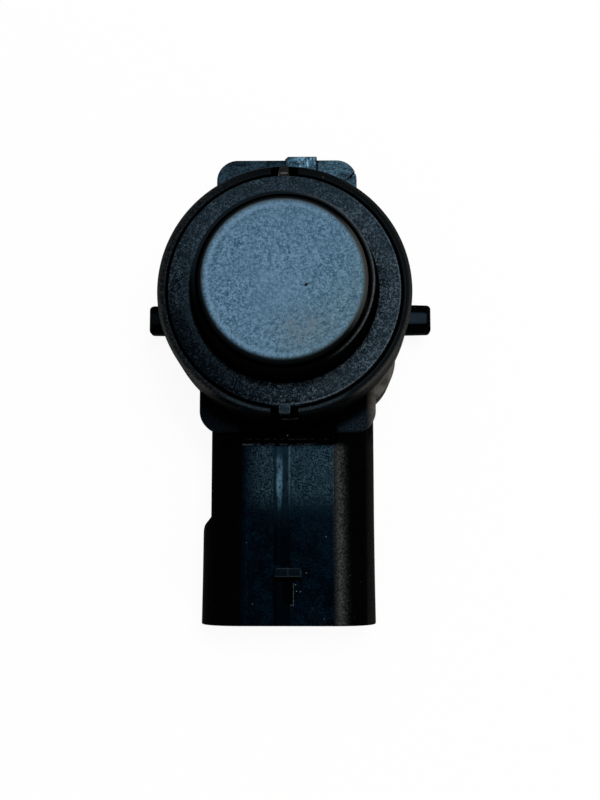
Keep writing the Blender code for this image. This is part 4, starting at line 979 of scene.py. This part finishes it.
def side_lug(side):
    """A locking lug: its lower half stands square, its upper half tapers to a narrow flat."""
    tip = LUG_TIP[side]
    corners = [(LUG_ROOT, -1.68, 0.0), (tip, -1.58, 0.45), (tip, 1.52, 0.45), (LUG_ROOT, 1.68, 0.0)]
    outline = rounded(corners, 6)
    levels = [(0.1, 3.0, 1.0, 1.0), (0.03, 3.03, 1.0, 1.0), (0.0, 3.1, 1.0, 1.0), (0.0, 4.22, 1.0, 1.0)]
    levels += [(0.03, 4.3, 1.0, 1.0), (0.0, 4.92, 0.4, 0.91), (0.0, 4.98, 0.35, 0.9), (0.0, 5.0, 0.3, 0.89)]
    rings = []
    for distance, z, width_share, length_share in levels:
        ring = []
        for x, y in inset(outline, distance):
            reach = LUG_ROOT + (x - LUG_ROOT) * length_share
            ring.append((side * reach, LUG_Y + y * width_share, z))
        rings.append(ring)
    return loft(rings)


def barrel():
    profile = [(0.0, RIM_Z), (12.05, RIM_Z), (12.12, 17.67), (12.18, 17.6), (12.46, 17.56)]
    profile += arc((12.48, 17.39), 0.17, 80, 0, 4)
    profile += [(FOOT_RADIUS, FOOT_Z), (0.0, FOOT_Z)]
    return lathe(profile, "housing_shell")


def bore_cutter():
    """The stepped bore behind the ring, flared at the top to round the rim's inner edge."""
    edge = 0.1
    flare = RIM_INNER + edge
    profile = [(0.0, RIM_Z + 1.0), (flare, RIM_Z + 1.0), (flare, RIM_Z)]
    profile += arc((flare, RIM_Z - edge), edge, 90, 180, 4)[1:]
    profile += [(RIM_INNER, RING_SEAT_Z), (SLEEVE_POCKET, RING_SEAT_Z), (SLEEVE_POCKET, PARTITION_Z)]
    profile += [(OPENING_RADIUS, PARTITION_Z), (OPENING_RADIUS, ROOF_Z - 1.0), (0.0, ROOF_Z - 1.0)]
    return lathe(profile)


def key_slot_cutter(direction, corner):
    """One key slot of the rim; its outer corners are rounded by a flare of the cutter."""
    half = SLOT_HALF
    bend = SLOT_REACH - 0.25 - corner
    right = [(half, 11.0), (half, bend)]
    right += arc((half + corner, bend), corner, 180, 95, 6)
    right += [(half + corner, SLOT_REACH + 0.6)]
    left = [(-x, y) for x, y in reversed(right)]
    outline = [(x, direction * y) for x, y in right + left]
    if direction < 0:
        outline.reverse()
    slot = prism(outline, SLOT_FLOOR_Z, RIM_Z + 1.0)
    if direction > 0:
        low_wall = box_outline(-2.0, 2.0, SLOT_WALL_Y, 14.0)
        combine(slot, [prism(low_wall, SLOT_FLOOR_Z - 1.0, SLOT_WALL_Z)], 'DIFFERENCE')
    return slot


def far_crack():
    """The ragged crack in the far plate's right side."""
    outline = [(7.6, 14.62), (6.95, 14.22), (6.72, 13.95), (6.6, 13.78), (6.36, 13.6)]
    outline += [(6.42, 13.46), (6.62, 13.62), (6.85, 13.7), (7.05, 14.02), (7.6, 14.35)]
    return prism(outline, 9.3, 10.5)


def rear_body():
    outline = box_outline(*BODY_X, *BODY_Y, (BODY_LEFT_CORNER, BODY_CORNER, BODY_CORNER, BODY_CORNER), 16)
    return prism(outline, 0.0, BODY_Z, BODY_EDGE, BODY_EDGE, steps=6)


def flange_parts():
    """The two ears and the far plate with its ramped tab."""
    outlines = [
        box_outline(*LEFT_EAR_X, *EAR_Y, (EAR_CORNER, 0.2, 0.0, 0.0), 12),
        box_outline(*RIGHT_EAR_X, *EAR_Y, (0.2, EAR_CORNER, 0.0, 0.0), 12),
        box_outline(-PLATE_HALF, PLATE_HALF, *PLATE_Y, (0.0, 0.0, 2.15, 2.2), 14),
    ]
    tab = [(TAB_X[0], 9.3, 0.0), (TAB_X[1], 9.3, 0.0), (TAB_X[1], TAB_Z, 0.12)]
    tab += [(TAB_X[0] + 0.3, TAB_Z, 0.1), (TAB_X[0], FLANGE_Z[1], 0.1)]
    parts = [prism(outline, *FLANGE_Z, FLANGE_EDGE, FLANGE_EDGE) for outline in outlines]
    return [*parts, prism(rounded(tab, 4), *TAB_Y, 0.08, 0.12, 'Y')]


def panel_parts():
    """The polished rib with its beads along the shroud's front, and the latch bar across it."""
    corners = [(RIB_X[0], 9.2, 0.0), (RIB_X[1], 9.2, 0.0), (RIB_X[1], RIB_Z, 0.06)]
    rib = rounded(corners + [(-0.95, RIB_Z, 0.3), (RIB_X[0], 9.63, 0.05)], 4)
    bar = box_outline(*LATCH_X, *LATCH_Y, (0.05, 0.05, 0.34, 0.34), 6)
    across = ((0.02, 9.4), (0.24, 9.4), (0.24, 9.6), (0.18, 9.645), (0.1, 9.655), (0.03, 9.63))
    bead = [(SEAM_X + x, z) for x, z in across]
    latch_bead = box_outline(SEAM_X - 0.03, SEAM_X + 0.05, 10.0, LATCH_Z[1] + 0.03)
    return [
        prism(rib, -27.1, PANEL_Y - 0.03, 0.0, 0.03, 'Y'),
        prism(rib, MOUTH_Y + 0.22, -28.2, 0.03, 0.0, 'Y'),
        prism(bar, *LATCH_Z, 0.0, 0.04),
        prism(bead, MOUTH_Y + 0.2, PANEL_Y - 0.05, axis='Y'),
        prism(latch_bead, -28.26, -27.34, axis='Y'),
    ]


def panel_cutters():
    """The latch's slot and shadow gap, and the groove of the seam."""
    slot = box_outline(*LATCH_SLOT_X, -31.08, LATCH_Y[0], 0.05, 3)
    shadow = box_outline(-1.42, LATCH_X[1], -28.72, LATCH_Y[0] + 0.02, 0.08, 3)
    groove = box_outline(SEAM_X - 0.05, SEAM_X + 0.03, MOUTH_Y - 0.2, PANEL_Y + 0.06)
    return [prism(shadow, 9.42, 10.6), prism(slot, 8.7, 10.6), prism(groove, 9.52, 9.8)]


def panel_pocket():
    """The hollow between the ears, cut back to the barrel's wall."""
    deep = PANEL_Y - 0.3
    outline = [(-8.0, POCKET_FLOOR_Z), (-8.0, 11.5), (deep, 11.5), (deep, 9.62)]
    outline += [(PANEL_Y - 0.12, 9.58), (PANEL_Y, 9.42), (PANEL_Y, POCKET_FLOOR_Z)]
    pocket = prism(outline, SHROUD_X - POCKET_HALF, SHROUD_X + POCKET_HALF, axis='X')
    guard_radius = FOOT_RADIUS + 0.01
    guard = lathe([(0.0, 12.5), (guard_radius, 12.5), (guard_radius, 5.0), (0.0, 5.0)])
    combine(pocket, [guard], 'DIFFERENCE')
    return pocket


def inner_cutters():
    """The chamber with its ledges, the passages of the blades and the rear core pockets."""
    half_x, half_y = CHAMBER_HALF
    chamber = box_outline(-half_x, half_x, -half_y, half_y, CHAMBER_CORNER, 12)
    low = LEDGE_Z - 0.1
    front = [(0.0, ROOF_Z), (LEDGE_RADIUS, ROOF_Z), (LEDGE_RADIUS, low), (0.0, low)]
    cutters = [prism(chamber, -1.0, LEDGE_Z), lathe(front)]
    for x in BLADE_X:
        passage = box_outline(x - BLADE_SLOT_HALF, x + BLADE_SLOT_HALF, *BLADE_SLOT_Z)
        cutters.append(prism(passage, -23.4, -8.1, axis='Y'))
    for index in range(3):
        left = SHROUD_X - 7.2 + index * (CORE_WIDTH + CORE_GAP)
        core = box_outline(left, left + CORE_WIDTH, -21.2, -12.1, 0.3, 4)
        cutters.append(prism(core, -1.0, 3.3))
    return cutters


def within(places, x=(-99.0, 99.0), y=(-99.0, 99.0), z=(-99.0, 99.0)):
    """Whether all the places lie between the limits of the three axes."""
    return all(low < value < high for place in places for value, (low, high) in zip(place, (x, y, z)))


def zone(places, normal):
    """Which coat a face of the housing takes, from its corners' places in millimetres."""
    low = min(place.z for place in places)
    high = max(place.z for place in places)
    south = min(place.y for place in places)
    north = max(place.y for place in places)
    radii = [math.hypot(place.x, place.y) for place in places]
    sides = [abs(place.x) for place in places]
    # The rim with its slots, the seat behind the ring and the rest of the barrel
    if max(radii) < 12.95 and min(radii) > 11.7 and high > 17.3:
        if max(sides) < 2.0 and abs(normal.x) > 0.7:
            return PAINTED_SHADE
        return WORN if normal.z > 0.25 else PLAIN
    in_slot = max(sides) < 1.6 and high < 17.4
    if max(radii) < 12.95 and min(radii) > 10.5 and low > 15.0 and (high < 16.3 or in_slot):
        return PAINTED_SHADE
    if high > 12.0:
        return PLAIN
    # The pocket between the ears, and the lugs' narrow tops
    if within(places, (-4.95, 5.25), (PANEL_Y + 0.02, -9.0), (-1.0, 9.7)):
        return PAINTED_SHADE
    if min(sides) > 10.8 and within(places, z=(4.85, 5.2)):
        return WORN
    # The rib with its bead, the latch bar, and the slot in front of the bar
    if north - south > 0.05 and within(places, (-1.36, SEAM_X + 0.27), (-40.0, PANEL_Y + 0.01), (9.56, 13.0)):
        return POLISHED
    if high > 9.7 and within(places, (-1.31, 1.61), (-40.0, -27.2), (9.3, 13.0)):
        return POLISHED
    if within(places, (-1.5, 1.6), (-31.0, -28.0), (8.0, 9.61)):
        return PAINTED_SHADE
    # The ears and the shroud's rounded shoulders, and the tab's ramp on the far plate
    if north < -5.0 and (south > -13.6 or normal.z < 0.9985):
        return PLAIN
    if abs(normal.x) > 0.6 and within(places, (-0.25, 0.15), (12.3, 20.0)):
        return GRAINED
    return GRAINED if normal.z > 0.55 and low > 9.2 else PLAIN


def housing(coats):
    """The black moulding, made from its parts and cutters, with a coat for each face."""
    shell = barrel()
    parts = [rear_body(), shroud(), *flange_parts(), side_lug(1), side_lug(-1), *panel_parts()]
    combine(shell, parts, 'UNION')
    cutters = [panel_pocket(), bore_cutter(), key_slot_cutter(1, 0.42), key_slot_cutter(-1, 0.06)]
    cutters += [socket_cutter(), *panel_cutters(), far_crack(), *inner_cutters()]
    combine(shell, cutters, 'DIFFERENCE')
    points = shell.data.vertices
    for polygon in shell.data.polygons:
        polygon.material_index = zone([points[index].co for index in polygon.vertices], polygon.normal)
    dress(shell, ["housing"], coats)


def key(stations, corner):
    """A key of the ring, through stations given as (y, left, right, top)."""
    rings = []
    for y, left, right, top in stations:
        outline = box_outline(left, right, KEY_REAR_Z, top, (0.0, 0.0, corner, corner), 4)
        rings.append([(x, y, z) for x, z in outline])
    return loft(rings)


def top_key():
    """The upper key: a wedge that falls away from the ring's edge."""
    shape = [(10.9, 0.6, 17.9), (11.36, 0.6, 17.9), (11.5, 0.58, 17.86), (11.62, 0.57, 17.66)]
    shape += [(11.8, 0.55, 17.6), (12.3, 0.5, 17.52), (12.5, 0.44, 17.48), (12.58, 0.34, 17.4)]
    return key([(y, -half - 0.08, half - 0.1, top) for y, half, top in shape], 0.08)


def bottom_key():
    shape = [(-10.9, 0.57, 17.85), (-11.5, 0.57, 17.85), (-12.14, 0.54, 17.83)]
    shape += [(-12.21, 0.52, 17.81), (-12.26, 0.49, 17.76)]
    return key([(y, 0.03 - half, 0.03 + half, top) for y, half, top in shape], 0.06)


def cover_ring(material):
    edge = 0.14
    profile = arc((RING_INNER + edge, RING_Z - edge), edge, 180, 90, 4)
    profile += arc((RING_OUTER - edge, RING_Z - edge), edge, 90, 0, 4)
    profile += [(RING_OUTER, RING_REAR_Z), (RING_INNER, RING_REAR_Z)]
    ring = lathe(profile, "cover_ring_textured", True, 256)
    combine(ring, [top_key(), bottom_key()], 'UNION')
    dress(ring, ["cover_ring"], [material])


def sleeve(material):
    """The soft sleeve, with two fine grooves outside and the cup's groove inside."""
    edge = 0.09
    profile = arc((SLEEVE_BORE + edge, SLEEVE_TOP_Z - edge), edge, 180, 90, 3)
    profile += arc((SLEEVE_RADIUS - edge, SLEEVE_TOP_Z - edge), edge, 90, 0, 3)
    profile += [(8.735, 21.4), (8.72, 21.35), (8.72, 21.28), (8.735, 21.23), (8.745, 20.0)]
    profile += [(8.73, 19.95), (8.73, 19.88), (8.745, 19.83), (SLEEVE_RADIUS, LIP_Z + 0.36)]
    profile += [(8.8, LIP_Z + 0.25), (8.88, LIP_Z + 0.17), (8.95, LIP_Z + 0.12)]
    profile += arc((LIP_RADIUS - 0.06, LIP_Z + 0.02), 0.06, 60, 0, 3)
    profile += [(LIP_RADIUS, RING_SEAT_Z), (SLEEVE_BASE, RING_SEAT_Z), (SLEEVE_BASE, SLEEVE_REAR_Z)]
    profile += [(OPENING_RADIUS, SLEEVE_REAR_Z), (OPENING_RADIUS, GROOVE_Z[0]), (GROOVE_RADIUS, GROOVE_Z[0])]
    profile += [(GROOVE_RADIUS, GROOVE_Z[1]), (SLEEVE_BORE, GROOVE_Z[1])]
    item = lathe(profile, "sleeve_soft", True, 256)
    dress(item, ["decoupling_sleeve"], [material])


def cup(material):
    """The drawn cup, open at the rear, with its front wall as the membrane."""
    profile = [(radius, MEMBRANE_Z) for radius in (0.0, 2.0, 4.0, 6.0, 7.2)]
    profile += arc((CUP_RADIUS - CUP_EDGE, MEMBRANE_Z - CUP_EDGE), CUP_EDGE, 90, 0, 8)
    profile += [(CUP_RADIUS, COLLAR_Z), (COLLAR_RADIUS, COLLAR_Z), (COLLAR_RADIUS, CUP_REAR_Z)]
    profile += [(CUP_BORE, CUP_REAR_Z), (CUP_BORE, CUP_INSIDE_Z), (0.0, CUP_INSIDE_Z)]
    item = lathe(profile, "cup_painted", False, 256)
    dress(item, ["membrane_cup"], [material])


def potting(material):
    """The poured compound, with a meniscus along the chamber's wall and a faintly wavy surface."""
    gap = 0.3
    half_x = CHAMBER_HALF[0] - gap
    half_y = CHAMBER_HALF[1] - gap
    outline = box_outline(-half_x, half_x, -half_y, half_y, CHAMBER_CORNER - gap, 12)
    rings = [[(x, y, 3.45) for x, y in outline]]
    for distance, z in ((0.0, 0.0), (0.12, 0.05), (0.35, 0.12), (0.8, 0.18), (1.6, 0.21)):
        rings.append([(x, y, z) for x, y in inset(outline, distance)])
    for share in (0.75, 0.5, 0.25, 0.05):
        ring = []
        for x, y in inset(outline, 1.6):
            wave = 0.02 * math.sin(x * share * 1.3) * math.cos(y * share * 0.9)
            ring.append((x * share, y * share, 0.22 + wave))
        rings.append(ring)
    item = loft(rings, "potting_surface")
    dress(item, ["rear_potting"], [material])


def round_edges(names, width):
    """Round the sharp edges of nodes of the frame a little."""
    for name in names:
        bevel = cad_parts[name].modifiers.new("edge", 'BEVEL')
        bevel.width = width * MM
        bevel.segments = 2
        bevel.limit_method = 'ANGLE'
        bevel.angle_limit = SHARP_ANGLE


def inner_pieces():
    """Coats of the pieces inside, which keep their shapes from the frame."""
    for names, *look in INNER_COATS:
        material = plain_coat(*look)
        for name in names:
            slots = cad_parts[name].data.materials
            slots.clear()
            slots.append(material)
    round_edges(PINS, 0.03)
    round_edges(BLADES, 0.05)


camera()
surroundings()
floor()
housing([grained_plastic(), side_plastic(), rim_plastic(), polished_plastic(), shadow_plastic()])
cover_ring(ring_plastic())
sleeve(sleeve_rubber())
cup(cup_paint())
potting(plain_coat("black_potting", (0.008, 0.008, 0.009), (0.014, 0.014, 0.015), 0.25, 0.0, 0.8, 0.03))
inner_pieces()
bpy.context.scene.view_settings.view_transform = 'Standard'
